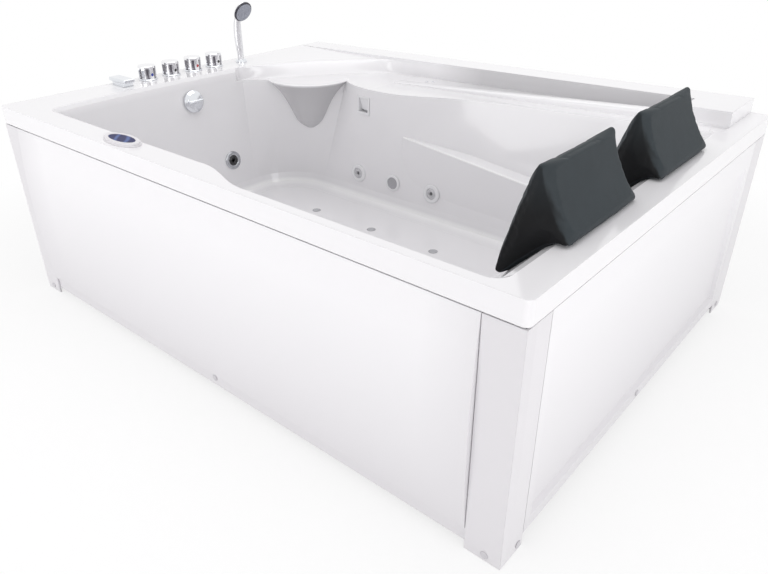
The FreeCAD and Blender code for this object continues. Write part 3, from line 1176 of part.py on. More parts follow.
def on_axis(distance):
    return pump_start + ALONG * distance


discharge = on_axis(s.volute_length / 2)
discharge_top = discharge + UPWARDS * (s.volute_radius + s.pump_socket)
volute = rod(on_axis(0), on_axis(s.volute_length), s.volute_radius).fuse([
    rod(on_axis(-s.pump_socket), on_axis(1), collar_radius), rod(discharge, discharge_top, collar_radius)])
volute = volute.cut([
    rod(on_axis(s.pump_wall), on_axis(s.volute_length - s.pump_wall), s.volute_radius - s.pump_wall),
    rod(on_axis(-s.pump_socket), on_axis(-2), s.pipe_radius + s.seat_gap),
    rod(on_axis(-3), on_axis(s.pump_wall + 1), s.pipe_radius - s.pipe_wall),
    rod(discharge_top - UPWARDS * (s.pump_socket - 6), discharge_top, s.pipe_radius + s.seat_gap),
    rod(discharge, discharge_top, s.pipe_radius - s.pipe_wall),
    rod(on_axis(s.volute_length - s.pump_wall - 1), on_axis(s.volute_length), s.pump_shaft + s.fit_gap)])
feature("pump_volute", volute)

motor_start = s.volute_length + s.seat_gap
motor_end = motor_start + s.motor_length
motor = rod(on_axis(motor_start), on_axis(motor_end), s.motor_radius)
cradle = box_between(Vector(on_axis(motor_start + 30).x, pump_y - 50, machine_base),
                     Vector(on_axis(motor_end - 40).x, pump_y + 50, axis_height - s.motor_radius + 14))
terminal = box_between(Vector(on_axis(motor_start + 50).x, pump_y - 35, axis_height),
                       Vector(on_axis(motor_start + 140).x, pump_y + 35, axis_height + s.motor_radius + 26))
fins = []
for i in range(10):
    at = motor_start + s.motor_length * (0.12 + 0.08 * i)
    fins.append(rod(on_axis(at), on_axis(at + 4), s.motor_radius + 5))
feature("pump_motor", motor.fuse([cradle, terminal] + fins).cut(
    rod(on_axis(motor_start), on_axis(motor_start + 120), s.pump_shaft + s.fit_gap)))
wheel = [rod(on_axis(26), on_axis(34), s.impeller_radius), rod(on_axis(30), on_axis(170), s.pump_shaft)]
for i in range(int(s.impeller_vanes)):
    vane = box_between(on_axis(10) + Vector(0, -2, 16), on_axis(28) + Vector(0, 2, s.impeller_radius - 2))
    vane.rotate(pump_start, ALONG, 360 * i / s.impeller_vanes)
    wheel.append(vane)
feature("pump_impeller", wheel[0].fuse(wheel[1:]))

blower_foot = Vector(s.blower_x, pump_y, machine_base)
blower_top = blower_foot + UPWARDS * s.blower_height
wall_up = UPWARDS * s.blower_wall
outlet_axis = blower_foot + UPWARDS * 40
outlet_tip = outlet_axis - ALONG * (s.blower_radius + 36)
blower = rod(blower_foot, blower_top, s.blower_radius).fuse(
    rod(outlet_axis, outlet_tip, s.floor_air_radius + 5))
blower = blower.cut([
    rod(blower_foot + wall_up, blower_top - wall_up, s.blower_radius - s.blower_wall),
    rod(outlet_axis - ALONG * (s.blower_radius + 4), outlet_tip, s.floor_air_radius + s.seat_gap),
    rod(outlet_axis, outlet_tip, s.floor_air_radius - s.pipe_wall),
    rod(blower_top - wall_up * 2, blower_top, 20)])
fan_motor = rod(blower_foot, blower_foot + UPWARDS * 70, 30).cut(
    rod(blower_foot + UPWARDS * 20, blower_foot + UPWARDS * 70, s.pump_shaft + s.fit_gap))
feature("blower_housing", blower.fuse(fan_motor))
fan = [rod(blower_foot + UPWARDS * 78, blower_foot + UPWARDS * 82, s.fan_radius),
       rod(blower_foot + UPWARDS * 21, blower_foot + UPWARDS * 79, s.pump_shaft)]
for i in range(int(s.fan_blades)):
    blade = box_between(blower_foot + Vector(22, -1.5, 80), blower_foot + Vector(s.fan_radius - 1, 1.5, 108))
    blade.rotate(blower_foot, UPWARDS, 360 * i / s.fan_blades)
    fan.append(blade)
feature("blower_fan", fan[0].fuse(fan[1:]))

case_low = Vector(box_start, pump_y - s.box_width / 2, machine_base)
case_high = case_low + Vector(s.box_length, s.box_width, s.box_height)
skin_step = Vector(s.box_wall, s.box_wall, s.box_wall)
case = box_between(case_low, case_high).cut(
    box_between(case_low + skin_step, case_high - Vector(s.box_wall, s.box_wall, -1)))
gland_at = Vector(box_start + s.box_length / 2, case_high.y, machine_base + s.box_height / 2)
case = case.cut(rod(gland_at - INTO_BACK * 10, gland_at + INTO_BACK, s.gland_radius + s.fit_gap))
feature("control_box", case)
lid_low = Vector(case_low.x, case_low.y, case_high.z + s.seat_gap)
feature("control_box_lid", box_between(lid_low, lid_low + Vector(s.box_length, s.box_width, s.lid_thickness)))
gland = rod(gland_at - INTO_BACK * 8, gland_at + INTO_BACK * s.seat_gap, s.gland_radius).fuse(
    rod(gland_at + INTO_BACK * s.seat_gap, gland_at + INTO_BACK * 18, s.gland_radius + 3))
feature("cable_gland", gland.cut(rod(gland_at - INTO_BACK * 9, gland_at + INTO_BACK * 20, s.gland_bore)))

# ------------------------------------------------------------------ pipework
front_run, side_run, back_run = runs
rise_x = discharge_top.x
back_turn = jet_cores[5] + back_run * ((rise_x - jet_cores[5].x) / back_run.x)
loop = [jet_cores[0] + front_run * (s.collar_length + 10), jet_cores[1] - front_run * 1.3 * s.corner_reach,
        jet_cores[2] - side_run * s.corner_reach, jet_cores[3] + side_run * s.corner_reach,
        jet_cores[4] - back_run * s.corner_reach, back_turn]
crest = max(discharge_top.z, back_turn.z) + s.pump_rise
feature("water_manifold", tube(
    loop + [Vector(back_turn.x, back_turn.y, crest), Vector(rise_x, pump_y, crest),
            discharge_top - UPWARDS * (s.pump_socket - 10)],
    s.pipe_radius, s.pipe_radius - s.pipe_wall, s.pipe_bend))

air_loop = [point + up_to_air for point in loop[:-1]] + [jet_cores[5] + up_to_air
                                                        + back_run * s.collar_length / 2]
air_valve = tap_places[3] - UPWARDS * (s.tap_depth + s.seat_gap)
loop_x = (jet_cores[3] + side_run * ((air_valve.y - jet_cores[3].y) / side_run.y)).x
drop_top = Vector(loop_x, air_valve.y, air_valve.z - s.air_pipe_drop)
loop_top = jet_cores[3].z + s.air_pipe_rise + s.air_pipe_radius + s.seat_gap
drop = [air_valve, Vector(air_valve.x, air_valve.y, drop_top.z), drop_top,
        Vector(loop_x, air_valve.y, loop_top)]
feature("jet_air_pipe", Part.makeCompound([
    tube(points, s.air_pipe_radius, s.air_pipe_radius - s.air_pipe_wall, s.pipe_bend / 2)
    for points in (air_loop, drop)]))

suction_end_x = s.pump_x - s.suction_reach
feature("suction_pipe", tube([
    suction_core, Vector(suction_core.x, suction_core.y, s.under_pipe_height),
    Vector(suction_core.x, pump_y, s.under_pipe_height),
    Vector(suction_end_x, pump_y, s.under_pipe_height),
    Vector(suction_end_x, pump_y, axis_height), on_axis(-4)],
    s.pipe_radius, s.pipe_radius - s.pipe_wall, s.pipe_bend))

row_front, row_back = injector_rows
row_start = injector_first - s.collar_length / 2
row_end = injector_first + 2 * s.injector_pitch + s.pipe_bend + s.collar_length / 2
hose_x = outlet_tip.x - s.pipe_bend - s.floor_air_radius / 2
hose = [Vector(row_start, row_front, s.floor_air_height), Vector(row_end, row_front, s.floor_air_height),
        Vector(row_end, row_back, s.floor_air_height), Vector(hose_x, row_back, s.floor_air_height),
        Vector(hose_x, pump_y, s.floor_air_height), Vector(hose_x, pump_y, outlet_axis.z),
        outlet_axis - ALONG * (s.blower_radius + 6)]
feature("floor_air_pipe", tube(hose, s.floor_air_radius, s.floor_air_radius - s.pipe_wall, s.pipe_bend))

# ------------------------------------------------------------------ write the pieces
check(nodes)
for item in nodes:
    item.Shape.exportStep(f"parts/{item.Label}.step")
print(len(nodes), "nodes written")
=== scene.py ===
import math
import bpy
import bmesh
import numpy as np
from mathutils import Matrix, Vector


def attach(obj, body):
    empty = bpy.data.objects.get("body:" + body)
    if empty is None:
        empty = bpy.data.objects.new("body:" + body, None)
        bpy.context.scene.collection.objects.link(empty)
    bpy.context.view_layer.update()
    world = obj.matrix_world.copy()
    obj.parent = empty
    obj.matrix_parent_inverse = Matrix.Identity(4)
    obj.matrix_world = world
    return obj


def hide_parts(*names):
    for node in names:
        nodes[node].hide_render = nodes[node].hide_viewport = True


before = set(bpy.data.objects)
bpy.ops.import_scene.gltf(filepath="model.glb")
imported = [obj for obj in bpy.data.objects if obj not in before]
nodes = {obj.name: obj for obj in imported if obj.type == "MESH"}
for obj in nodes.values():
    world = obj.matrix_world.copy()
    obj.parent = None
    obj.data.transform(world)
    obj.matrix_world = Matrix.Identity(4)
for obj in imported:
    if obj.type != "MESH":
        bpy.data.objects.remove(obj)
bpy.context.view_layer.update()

print("bath frame loaded with", len(nodes), "nodes")


class Wire:
    # a shader socket that can be added, multiplied and so on; each sum makes a Math node
    def __init__(self, tree, socket):
        self.tree = tree
        self.socket = socket

    def maths(self, operation, *terms):
        step = self.tree.nodes.new("ShaderNodeMath")
        step.operation = operation
        for place, term in zip(step.inputs, terms):
            if isinstance(term, Wire):
                self.tree.links.new(term.socket, place)
            else:
                place.default_value = term
        return Wire(self.tree, step.outputs[0])

    def __add__(self, other):
        return self.maths("ADD", self, other)

    def __radd__(self, other):
        return self.maths("ADD", other, self)

    def __sub__(self, other):
        return self.maths("SUBTRACT", self, other)

    def __rsub__(self, other):
        return self.maths("SUBTRACT", other, self)

    def __mul__(self, other):
        return self.maths("MULTIPLY", self, other)

    def __rmul__(self, other):
        return self.maths("MULTIPLY", other, self)

    def __pow__(self, other):
        return self.maths("POWER", self, other)

    def above(self, level):
        return self.maths("GREATER_THAN", self, level)

    def clipped(self):
        return self.maths("MINIMUM", self.maths("MAXIMUM", self, 0.0), 1.0)

    def absolute(self):
        return self.maths("ABSOLUTE", self)

    def rising(self, start, rate):
        # nothing up to a start, then climbing to one at a rate
        return ((self - start) * rate).clipped()

    def hump(self, middle, half):
        # one at the middle, falling to nothing at a half width to either side
        return (1 - (self - middle).absolute() * (1 / half)).clipped()

    def spread(self, least, added):
        return least + self * added


class Finish:
    # one material; its nodes come from make() and blend()
    def __init__(self, name):
        self.material = bpy.data.materials.new(name)
        self.material.use_nodes = True
        self.tree = self.material.node_tree
        self.tree.nodes.clear()
        self.shader = self.tree.nodes.new("ShaderNodeBsdfPrincipled")
        self.output = self.tree.nodes.new("ShaderNodeOutputMaterial")
        self.tree.links.new(self.shader.outputs[0], self.output.inputs[0])

    def make(self, kind, settings=None, values=None, out=0):
        # a node of a kind: its settings come first, then the values or links of its sockets
        step = self.tree.nodes.new(kind)
        for key, setting in (settings or {}).items():
            setattr(step, key, setting)
        for key, value in (values or {}).items():
            self.feed(step.inputs[key], value)
        return Wire(self.tree, step.outputs[out])

    def feed(self, place, value):
        if isinstance(value, Wire):
            self.tree.links.new(value.socket, place)
        else:
            place.default_value = value

    def put(self, **values):
        for key, value in values.items():
            self.feed(self.shader.inputs[socketNames[key]], value)
        return self

    def spot(self):
        # the shaded point in the piece's own coordinates
        return self.make("ShaderNodeTexCoord", out="Object")

    def part(self, letter):
        # that point's x, y or z
        return self.make("ShaderNodeSeparateXYZ", None, {"Vector": self.spot()}, letter)

    def place(self, shift=(0, 0, 0), turn=(0, 0, 0), stretch=(1, 1, 1)):
        return self.make("ShaderNodeMapping", {"vector_type": "TEXTURE"},
                         {"Vector": self.spot(), "Location": shift, "Rotation": turn, "Scale": stretch})

    def grain(self, scale, detail, rough=0.5, spot=None):
        return self.make("ShaderNodeTexNoise", None, {
            "Vector": spot or self.place(), "Scale": scale, "Detail": detail, "Roughness": rough})

    def cells(self, scale, feature="F1", out="Distance"):
        return self.make("ShaderNodeTexVoronoi", {"feature": feature}, {
            "Vector": self.place(), "Scale": scale}, out)

    def blend(self, factor, first, second):
        # a tuple is a screen colour; 6, 7 and 2 are the Mix node's colour sockets
        step = self.tree.nodes.new("ShaderNodeMix")
        step.data_type = "RGBA"
        for index, value in ((0, factor), (6, first), (7, second)):
            self.feed(step.inputs[index], tint(value) if isinstance(value, tuple) else value)
        return Wire(self.tree, step.outputs[2])

    def soften(self, radius):
        # the normal of a rounded edge, so that a sharp edge catches light as a moulded one does
        return self.make("ShaderNodeBevel", {"samples": 6}, {"Radius": radius})

    def relief(self, height, strength, depth, normal=None):
        # a bump of a height, laid over a normal where one is given
        values = {"Height": height, "Strength": strength, "Distance": depth}
        if normal:
            values["Normal"] = normal
        return self.make("ShaderNodeBump", None, values)


socketNames = {"colour": "Base Color", "roughness": "Roughness", "metal": "Metallic", "coat": "Coat Weight",
               "coatRoughness": "Coat Roughness", "normal": "Normal", "gloss": "Specular IOR Level"}


def tint(colour):
    # a screen colour of 0 to 255 as a linear one, by the usual screen curve
    parts = [channel / 255 for channel in colour]
    return [part / 12.92 if part < 0.04 else ((part + 0.055) / 1.055) ** 2.4 for part in parts] + [1.0]


# The finishes. Low and high are the screen colours where a pattern is nothing and where it is one. A
# grain is its scale, detail and roughness, a roughness is its least value and what the pattern adds, a
# bump is its strength and depth, and places are in metres.
leftWallLine = -0.66  # what stands left of it is on the left wall
tiny = 1e-9  # keeps a radius or a length from being nothing

# the deck's paler tone is painted light, the brightest tone a painted highlight and the channel's tone
# painted shade
acrylicLook = {"low": (232, 231, 233), "high": (237, 236, 238), "outer": (243, 242, 244),
               "paintedHighlight": (254, 254, 254), "channel": (212, 211, 213), "drift": (1.6, 3), "wipe": (9, 4),
               "swell": (14, 2), "roughness": (0.11, 0.1), "coat": 0.5, "coatRoughness": 0.06,
               "bump": (0.05, 0.002), "edge": 0.0022,
               "bend": (0.186, 0.013),  # middle and half height of the turn from the floor to the walls
               "deck": (0.584, 40), "headEnd": (0.88, 100), "frontEdge": (0.655, 200)}  # start and rate
# the armrest's front edge, where a painted highlight lies, falls to the right from the level at x; the
# channel's bed lies between its front, which is skewed to the right, and its back, and its painted shade
# comes in from the left
armrestLine = {"x": -0.136, "fall": 0.113, "level": 0.439, "half": 0.003, "front": 0.28, "left": -0.13}
channelBed = {"front": 0.4825, "skew": 0.0256, "back": 0.5765, "right": 0.7135, "left": (-0.2, 5)}


def bathAcrylic():
    # painted light and shade: paler on the deck, head end and front edge, with painted highlights where the
    # floor turns up into the walls and along the armrest's front edge, and painted shade on the channel's
    # bed
    look = acrylicLook
    acrylic = Finish("bathAcrylic")
    x, y, z = [acrylic.part(letter) for letter in "XYZ"]
    wipe = acrylic.grain(*look["wipe"])
    # painted highlight along the armrest's front edge
    line = z + (x - armrestLine["x"]) * armrestLine["fall"]
    armrestHighlight = line.hump(armrestLine["level"], armrestLine["half"])
    armrestHighlight = armrestHighlight * y.above(armrestLine["front"]) * x.above(armrestLine["left"])
    inside = acrylic.blend(acrylic.grain(*look["drift"]), look["low"], look["high"])
    # painted light: paler on the deck, the head end and the front edge
    outer = z.rising(*look["deck"]) + x.rising(*look["headEnd"]) + (0 - y).rising(*look["frontEdge"])
    base = acrylic.blend(outer.clipped(), inside, look["outer"])
    # painted shade on the channel's bed
    channel = (y - x * channelBed["skew"]).above(channelBed["front"]) * (1 - y.above(channelBed["back"]))
    channel = channel * (1 - x.above(channelBed["right"])) * x.rising(*channelBed["left"])
    base = acrylic.blend(channel, base, look["channel"])
    # painted highlight where the floor turns up into the walls and along the armrest's edge
    return acrylic.put(
        colour=acrylic.blend((z.hump(*look["bend"]) + armrestHighlight).clipped(), base, look["paintedHighlight"]),
        roughness=wipe.spread(*look["roughness"]), coat=look["coat"], coatRoughness=look["coatRoughness"],
        normal=acrylic.relief(acrylic.grain(*look["swell"]), *look["bump"], acrylic.soften(look["edge"])))


sheetLook = {"drift": (1.1, 2), "speck": (160, 2), "roughness": (0.28, 0.06), "coat": 0.1,
             "coatRoughness": 0.2, "foot": (0.03, 2.2), "drifting": (0.94, 0.12),
             "ends": (0.69, 8), "front": -0.64, "endShare": 0.55,
             "apron": ((222, 220, 223), (243, 242, 244)),  # at the floor, at the top
             "post": ((224, 222, 225), (229, 227, 230)), "postEdge": 0.0015}


def whiteSheet(name, tones):
    # painted shade: greyer towards the floor, and on the front also towards the two rolled ends, where the
    # bulge turns away from the light
    look = sheetLook
    sheet = Finish(name)
    x, y, z = [sheet.part(letter) for letter in "XYZ"]
    # painted shade at the front's two rolled ends
    ends = x.absolute().rising(*look["ends"]) * (1 - y.above(look["front"]))
    # painted shade, greyer towards the floor, with a random drift
    height = z.rising(*look["foot"]) * sheet.grain(*look["drift"]).spread(*look["drifting"])
    return sheet.put(
        colour=sheet.blend(height * (1 - ends * look["endShare"]), *tones),
        roughness=sheet.grain(*look["speck"]).spread(*look["roughness"]),
        coat=look["coat"], coatRoughness=look["coatRoughness"])


def apronSheet():
    return whiteSheet("apronSheet", sheetLook["apron"])


def postSheet():
    post = whiteSheet("postSheet", sheetLook["post"])
    return post.put(normal=post.soften(sheetLook["postEdge"]))


def plainFinish(name, look):
    # a coarse pattern mixes two colours, and a fine one sets the roughness and the bump;
    # without a coarse one the fine one does both
    finish = Finish(name)
    fine = finish.grain(*look["fine"])
    coarse = finish.grain(*look["coarse"]) if "coarse" in look else fine
    finish.put(colour=finish.blend(coarse, look["low"], look["high"]), metal=look.get("metal", 0.0),
               roughness=fine.spread(*look["roughness"]), coat=look.get("coat", 0.0))
    normal = finish.soften(look["edge"]) if "edge" in look else None
    if "bump" in look:
        normal = finish.relief(fine, *look["bump"], normal)
    if normal:
        finish.put(normal=normal)
    return finish


# painted shade: the white screw caps get a greyer tone for the shade that falls on them
capLook = {"low": (198, 196, 200), "high": (210, 208, 212), "fine": (300, 2), "roughness": (0.3, 0.1),
           "edge": 0.001}


def capPlastic():
    return plainFinish("capPlastic", capLook)


chromeLook = {"low": (222, 225, 230), "high": (238, 240, 243), "fine": (55, 5, 0.6),
              "roughness": (0.04, 0.1), "metal": 1.0, "edge": 0.0012}


def chromePlate():
    return plainFinish("chromePlate", chromeLook)


# the four knobs stand at even steps along the deck, and the first step begins at start
knobLook = {"x": -0.853, "start": -0.2405, "step": 0.093, "radius": 0.0282, "rate": 260, "top": 0.6635,
            "crest": (240, 240, 242), "grooveShade": (120, 118, 124), "smudge": (30, 2),
            "roughness": (0.07, 0.05), "edge": 0.001}


def knobChrome():
    # painted shade: chrome that is greyer down in the flutes, by the distance from the knob's own axis
    look = knobLook
    chrome = Finish("knobChrome")
    x, y, z = [chrome.part(letter) for letter in "XYZ"]
    along = y - look["start"]
    across = along.maths("FLOORED_MODULO", along, look["step"]) - look["step"] / 2
    ahead = x - look["x"]
    radius = (ahead * ahead + across * across) ** 0.5
    # painted shade down in the flutes
    fluteShade = ((look["radius"] - radius) * look["rate"]).clipped() * (1 - z.above(look["top"]))
    return chrome.put(colour=chrome.blend(fluteShade, look["crest"], look["grooveShade"]), metal=1.0,
                      roughness=chrome.grain(*look["smudge"]).spread(*look["roughness"]),
                      normal=chrome.soften(look["edge"]))


ringLook = {"low": (226, 226, 228), "high": (238, 238, 240), "floor": (176, 176, 180),
            "plate": (190, 192, 196), "floorTop": 0.2, "speck": (420, 2), "patch": (30, 3),
            "roughness": (0.16, 0.1), "bump": (0.06, 0.0004), "edge": 0.0012}


def ringPlastic():
    # white rings, plated ones on the left wall's jets and greyer caps on the floor
    look = ringLook
    ring = Finish("ringPlastic")
    speck = ring.grain(*look["speck"])
    plated = 1 - ring.part("X").above(leftWallLine)
    white = ring.blend(ring.grain(*look["patch"]), look["low"], look["high"])
    white = ring.blend(ring.part("Z").above(look["floorTop"]), look["floor"], white)
    return ring.put(colour=ring.blend(plated, white, look["plate"]), metal=plated,
                    roughness=speck.spread(*look["roughness"]),
                    normal=ring.relief(speck, *look["bump"], ring.soften(look["edge"])))


nozzleLook = {"low": (186, 186, 189), "high": (206, 206, 209), "black": (34, 34, 37), "speck": (500, 2),
              "patch": (60, 3), "roughness": (0.24, 0.14), "coat": 0.25, "bump": (0.08, 0.0004),
              "edge": 0.001}


def nozzlePlastic():
    # black nozzles on the left wall, pale grey ones elsewhere
    look = nozzleLook
    nozzle = Finish("nozzlePlastic")
    speck = nozzle.grain(*look["speck"])
    grey = nozzle.blend(nozzle.grain(*look["patch"]), look["low"], look["high"])
    onLeftWall = 1 - nozzle.part("X").above(leftWallLine)
    return nozzle.put(colour=nozzle.blend(onLeftWall, grey, look["black"]), coat=look["coat"],
                      roughness=speck.spread(*look["roughness"]),
                      normal=nozzle.relief(speck, *look["bump"], nozzle.soften(look["edge"])))


lensLook = {"centre": (-0.17, 0.2926, 0.266), "rings": 90.0, "low": (150, 150, 154),
            "high": (178, 178, 182), "roughness": (0.12, 0.08), "coat": 0.8, "bump": (0.25, 0.0006)}


def lampLens():
    look = lensLook
    lens = Finish("lampLens")
    prisms = lens.make("ShaderNodeTexWave", {"wave_type": "RINGS", "rings_direction": "Y"}, {
        "Vector": lens.place(look["centre"]), "Scale": look["rings"], "Distortion": 0.0}, "Fac")
    return lens.put(colour=lens.blend(prisms, look["low"], look["high"]), coat=look["coat"],
                    roughness=prisms.spread(*look["roughness"]), normal=lens.relief(prisms, *look["bump"]))


# the spray plate faces the basin and looks down by lean degrees; rings holds each ring's radius and count
sprayPlate = {"centre": (-0.790, 0.195, 0.796), "lean": 27, "radius": 0.0325, "edge": 0.0012,
              "rings": ((0.0075, 6), (0.0145, 12), (0.0215, 18), (0.0275, 24)), "bump": 0.0011,
              "spread": 0.0013, "sunk": 0.0005, "rows": 70, "columns": 216,
              "rubber": {"low": (140, 144, 156), "high": (170, 173, 184), "fine": (500, 2),
                         "coarse": (90, 3), "roughness": (0.3, 0.15)}}
showerLook = {"low": (226, 226, 229), "high": (238, 238, 240), "rim": (52, 50, 62), "rimDepth": -0.006,
              "rimReach": 0.0405, "speck": (380, 3), "plating": 0.7, "roughness": (0.14, 0.08),
              "bump": (0.05, 0.0003), "edge": 0.0015}


def sprayWay():
    lean = math.radians(sprayPlate["lean"])
    return (math.cos(lean), 0, -math.sin(lean))


def showerPlastic():
    # plated plastic with a dark rim round the spray plate
    look = showerLook
    shower = Finish("showerPlastic")
    speck = shower.grain(*look["speck"])
    ahead = shower.make("ShaderNodeVectorMath", {"operation": "SUBTRACT"},
                        {0: shower.spot(), 1: sprayPlate["centre"]})
    depth = shower.make("ShaderNodeVectorMath", {"operation": "DOT_PRODUCT"}, {0: ahead, 1: sprayWay()},
                        "Value")
    reach = shower.make("ShaderNodeVectorMath", {"operation": "LENGTH"}, {0: ahead}, "Value")
    rim = depth.above(look["rimDepth"]) * (1 - reach.above(look["rimReach"]))
    plate = shower.blend(speck, look["low"], look["high"])
    return shower.put(colour=shower.blend(rim, plate, look["rim"]), metal=look["plating"] * (1 - rim),
                      roughness=speck.spread(*look["roughness"]),
                      normal=shower.relief(speck, *look["bump"], shower.soften(look["edge"])))


skinLook = {"low": (40, 46, 50), "high": (55, 62, 66), "end": (3, 4, 7), "pores": 520,
            "crease": (26, 5, 0.6), "worn": (7, 3), "creaseShare": 0.6, "roughness": (0.5, 0.16),
            "gloss": 0.22, "bump": (0.22, 0.0006)}


def pillowSkin():
    # creased and worn on its faces, nearly black on the end panels, which painted shade darkens further
    # towards the bottom
    look = skinLook
    skin = Finish("pillowSkin")
    pore = skin.cells(look["pores"], "DISTANCE_TO_EDGE")
    crease = skin.grain(*look["crease"]) * look["creaseShare"]
    worn = skin.grain(*look["worn"])
    face = skin.blend(crease + worn * (1 - look["creaseShare"]), look["low"], look["high"])
    end = skin.make("ShaderNodeAttribute", {"attribute_name": "endPanelShade"}, None, "Fac")
    return skin.put(
        colour=skin.blend(end, face, look["end"]),
        roughness=worn.spread(*look["roughness"]), gloss=look["gloss"],
        normal=skin.relief(pore ** 0.5 + crease, *look["bump"]))


filmLook = {"centre": (-0.306, -0.632, 0), "turn": 0.75, "streaks": 11.0, "waver": 2.5, "detail": 2.0,
            "bright": (0.62, 1.9), "low": (12, 20, 84), "high": (92, 116, 176), "patch": (90, 3),
            "roughness": (0.3, 0.1), "gloss": 0.12}


def displayFilm():
    # a dark blue film with pale streaks across it
    look = filmLook
    film = Finish("displayFilm")
    streak = film.make("ShaderNodeTexWave", {"wave_type": "BANDS", "bands_direction": "X"}, {
        "Vector": film.place(look["centre"], (0, 0, look["turn"])), "Scale": look["streaks"],
        "Distortion": look["waver"], "Detail": look["detail"]}, "Fac")
    return film.put(colour=film.blend(streak.rising(*look["bright"]), look["low"], look["high"]),
                    roughness=film.grain(*look["patch"]).spread(*look["roughness"]), gloss=look["gloss"])


pipeLook = {"low": (214, 215, 214), "high": (232, 232, 230), "fine": (24, 5, 0.65),
            "roughness": (0.3, 0.2), "bump": (0.06, 0.0008)}


def pipePlastic():
    return plainFinish("pipePlastic", pipeLook)


fittingLook = {"low": (120, 123, 127), "high": (146, 149, 152), "fine": (260, 3), "coarse": (18, 4),
               "roughness": (0.38, 0.16), "bump": (0.12, 0.0005), "edge": 0.002}


def fittingPlastic():
    return plainFinish("fittingPlastic", fittingLook)


zincLook = {"spangles": 70, "low": (150, 153, 157), "high": (190, 192, 195), "metal": 0.85,
            "roughness": (0.36, 0.2), "wear": (40, 4), "worn": 0.1, "ripple": (120, 3),
            "bump": (0.1, 0.0006), "edge": 0.003}


def zincSteel():
    # galvanised steel, each spangle with its own grey
    look = zincLook
    zinc = Finish("zincSteel")
    spangle = zinc.cells(look["spangles"], "F1", "Color")
    patch = zinc.make("ShaderNodeSeparateColor", None, {"Color": spangle})
    return zinc.put(colour=zinc.blend(patch, look["low"], look["high"]), metal=look["metal"],
                    roughness=patch.spread(*look["roughness"]) + zinc.grain(*look["wear"]) * look["worn"],
                    normal=zinc.relief(zinc.grain(*look["ripple"]), *look["bump"],
                                       zinc.soften(look["edge"])))


motorLook = {"low": (44, 47, 52), "high": (58, 62, 66), "fine": (210, 2), "coarse": (14, 4),
             "roughness": (0.32, 0.18), "coat": 0.2, "bump": (0.16, 0.0006), "edge": 0.002}


def motorPaint():
    return plainFinish("motorPaint", motorLook)


woodLook = {"along": (1, 0.07, 0.05), "veneer": (6, 6, 0.6), "plies": 60.0, "waver": 0.6,
            "veneerShare": 0.75, "low": (150, 116, 78), "high": (202, 170, 124), "roughness": (0.6, 0.2),
            "bump": (0.25, 0.0008)}


def plywood():
    # veneer that runs along x, with the plies' bands at the edges
    look = woodLook
    wood = Finish("plywood")
    veneer = wood.grain(*look["veneer"], wood.place(stretch=look["along"]))
    plies = wood.make("ShaderNodeTexWave", {"wave_type": "BANDS", "bands_direction": "Z"}, {
        "Vector": wood.place(), "Scale": look["plies"], "Distortion": look["waver"]}, "Fac")
    mixed = veneer * look["veneerShare"] + plies * (1 - look["veneerShare"])
    return wood.put(colour=wood.blend(mixed, look["low"], look["high"]),
                    roughness=veneer.spread(*look["roughness"]), normal=wood.relief(veneer, *look["bump"]))


footLook = {"low": (28, 28, 30), "high": (44, 45, 47), "fine": (300, 3), "coarse": (30, 4),
            "roughness": (0.5, 0.2), "bump": (0.15, 0.0005), "edge": 0.0015}


def footRubber():
    return plainFinish("footRubber", footLook)


brassLook = {"low": (176, 148, 92), "high": (206, 182, 124), "plate": (230, 232, 236), "deckTop": 0.612,
             "tarnish": (34, 5, 0.6), "roughness": (0.22, 0.25), "polish": 0.7, "edge": 0.0012}


def valveBrass():
    # brass below the deck, chrome plate on the rings that show above it
    look = brassLook
    brass = Finish("valveBrass")
    tarnish = brass.grain(*look["tarnish"])
    plated = brass.part("Z").above(look["deckTop"])
    metal = brass.blend(tarnish, look["low"], look["high"])
    return brass.put(colour=brass.blend(plated, metal, look["plate"]), metal=1.0,
                     roughness=tarnish.spread(*look["roughness"]) * (1 - plated * look["polish"]),
                     normal=brass.soften(look["edge"]))


caseLook = {"low": (172, 174, 177), "high": (190, 192, 194), "pebbles": 420, "patch": (12, 3),
            "roughness": (0.42, 0.15), "bump": (0.14, 0.0005), "edge": 0.0025}


def casePlastic():
    look = caseLook
    case = Finish("casePlastic")
    pebble = case.cells(look["pebbles"])
    return case.put(colour=case.blend(case.grain(*look["patch"]), look["low"], look["high"]),
                    roughness=pebble.spread(*look["roughness"]),
                    normal=case.relief(pebble, *look["bump"], case.soften(look["edge"])))


# which pieces wear which finish
finishes = {
    bathAcrylic: ["tub_shell"],
    apronSheet: ["front_apron", "side_apron"],
    postSheet: ["panel_bezel", "corner_post", "front_left_post", "rear_post", "front_plinth"],
    capPlastic: ["screw_caps"],
    chromePlate: ["stream_nozzles", "waste_body", "drain_plug", "overflow_body", "overflow_knob",
                  "deck_filler", "shower_socket"],
    knobChrome: ["cold_tap_knob", "diverter_knob", "hot_tap_knob", "air_control_knob"],
    ringPlastic: ["jet_bezels", "lamp_housing", "suction_cover", "wall_inlet", "air_injectors"],
    nozzlePlastic: [f"jet_nozzle_{count}" for count in range(1, 7)],
    lampLens: ["lamp_lens"],
    showerPlastic: ["hand_shower"],
    displayFilm: ["panel_display"],
    pipePlastic: ["water_manifold", "jet_air_pipe", "suction_pipe", "floor_air_pipe", "overflow_pipe",
                  "waste_trap"],
    fittingPlastic: ["jet_bodies", "suction_body"],
    zincSteel: ["steel_frame", "apron_brackets", "equipment_trays", "pillow_studs"],
    motorPaint: ["pump_motor"],
    plywood: ["base_board"],
    footRubber: ["levelling_feet", "cable_gland"],
    valveBrass: ["deck_valves", "mixer_links"],
    casePlastic: ["pump_volute", "pump_impeller", "blower_housing", "blower_fan", "control_box",
                  "control_box_lid"],
    pillowSkin: ["pillow_near", "pillow_far"],
}


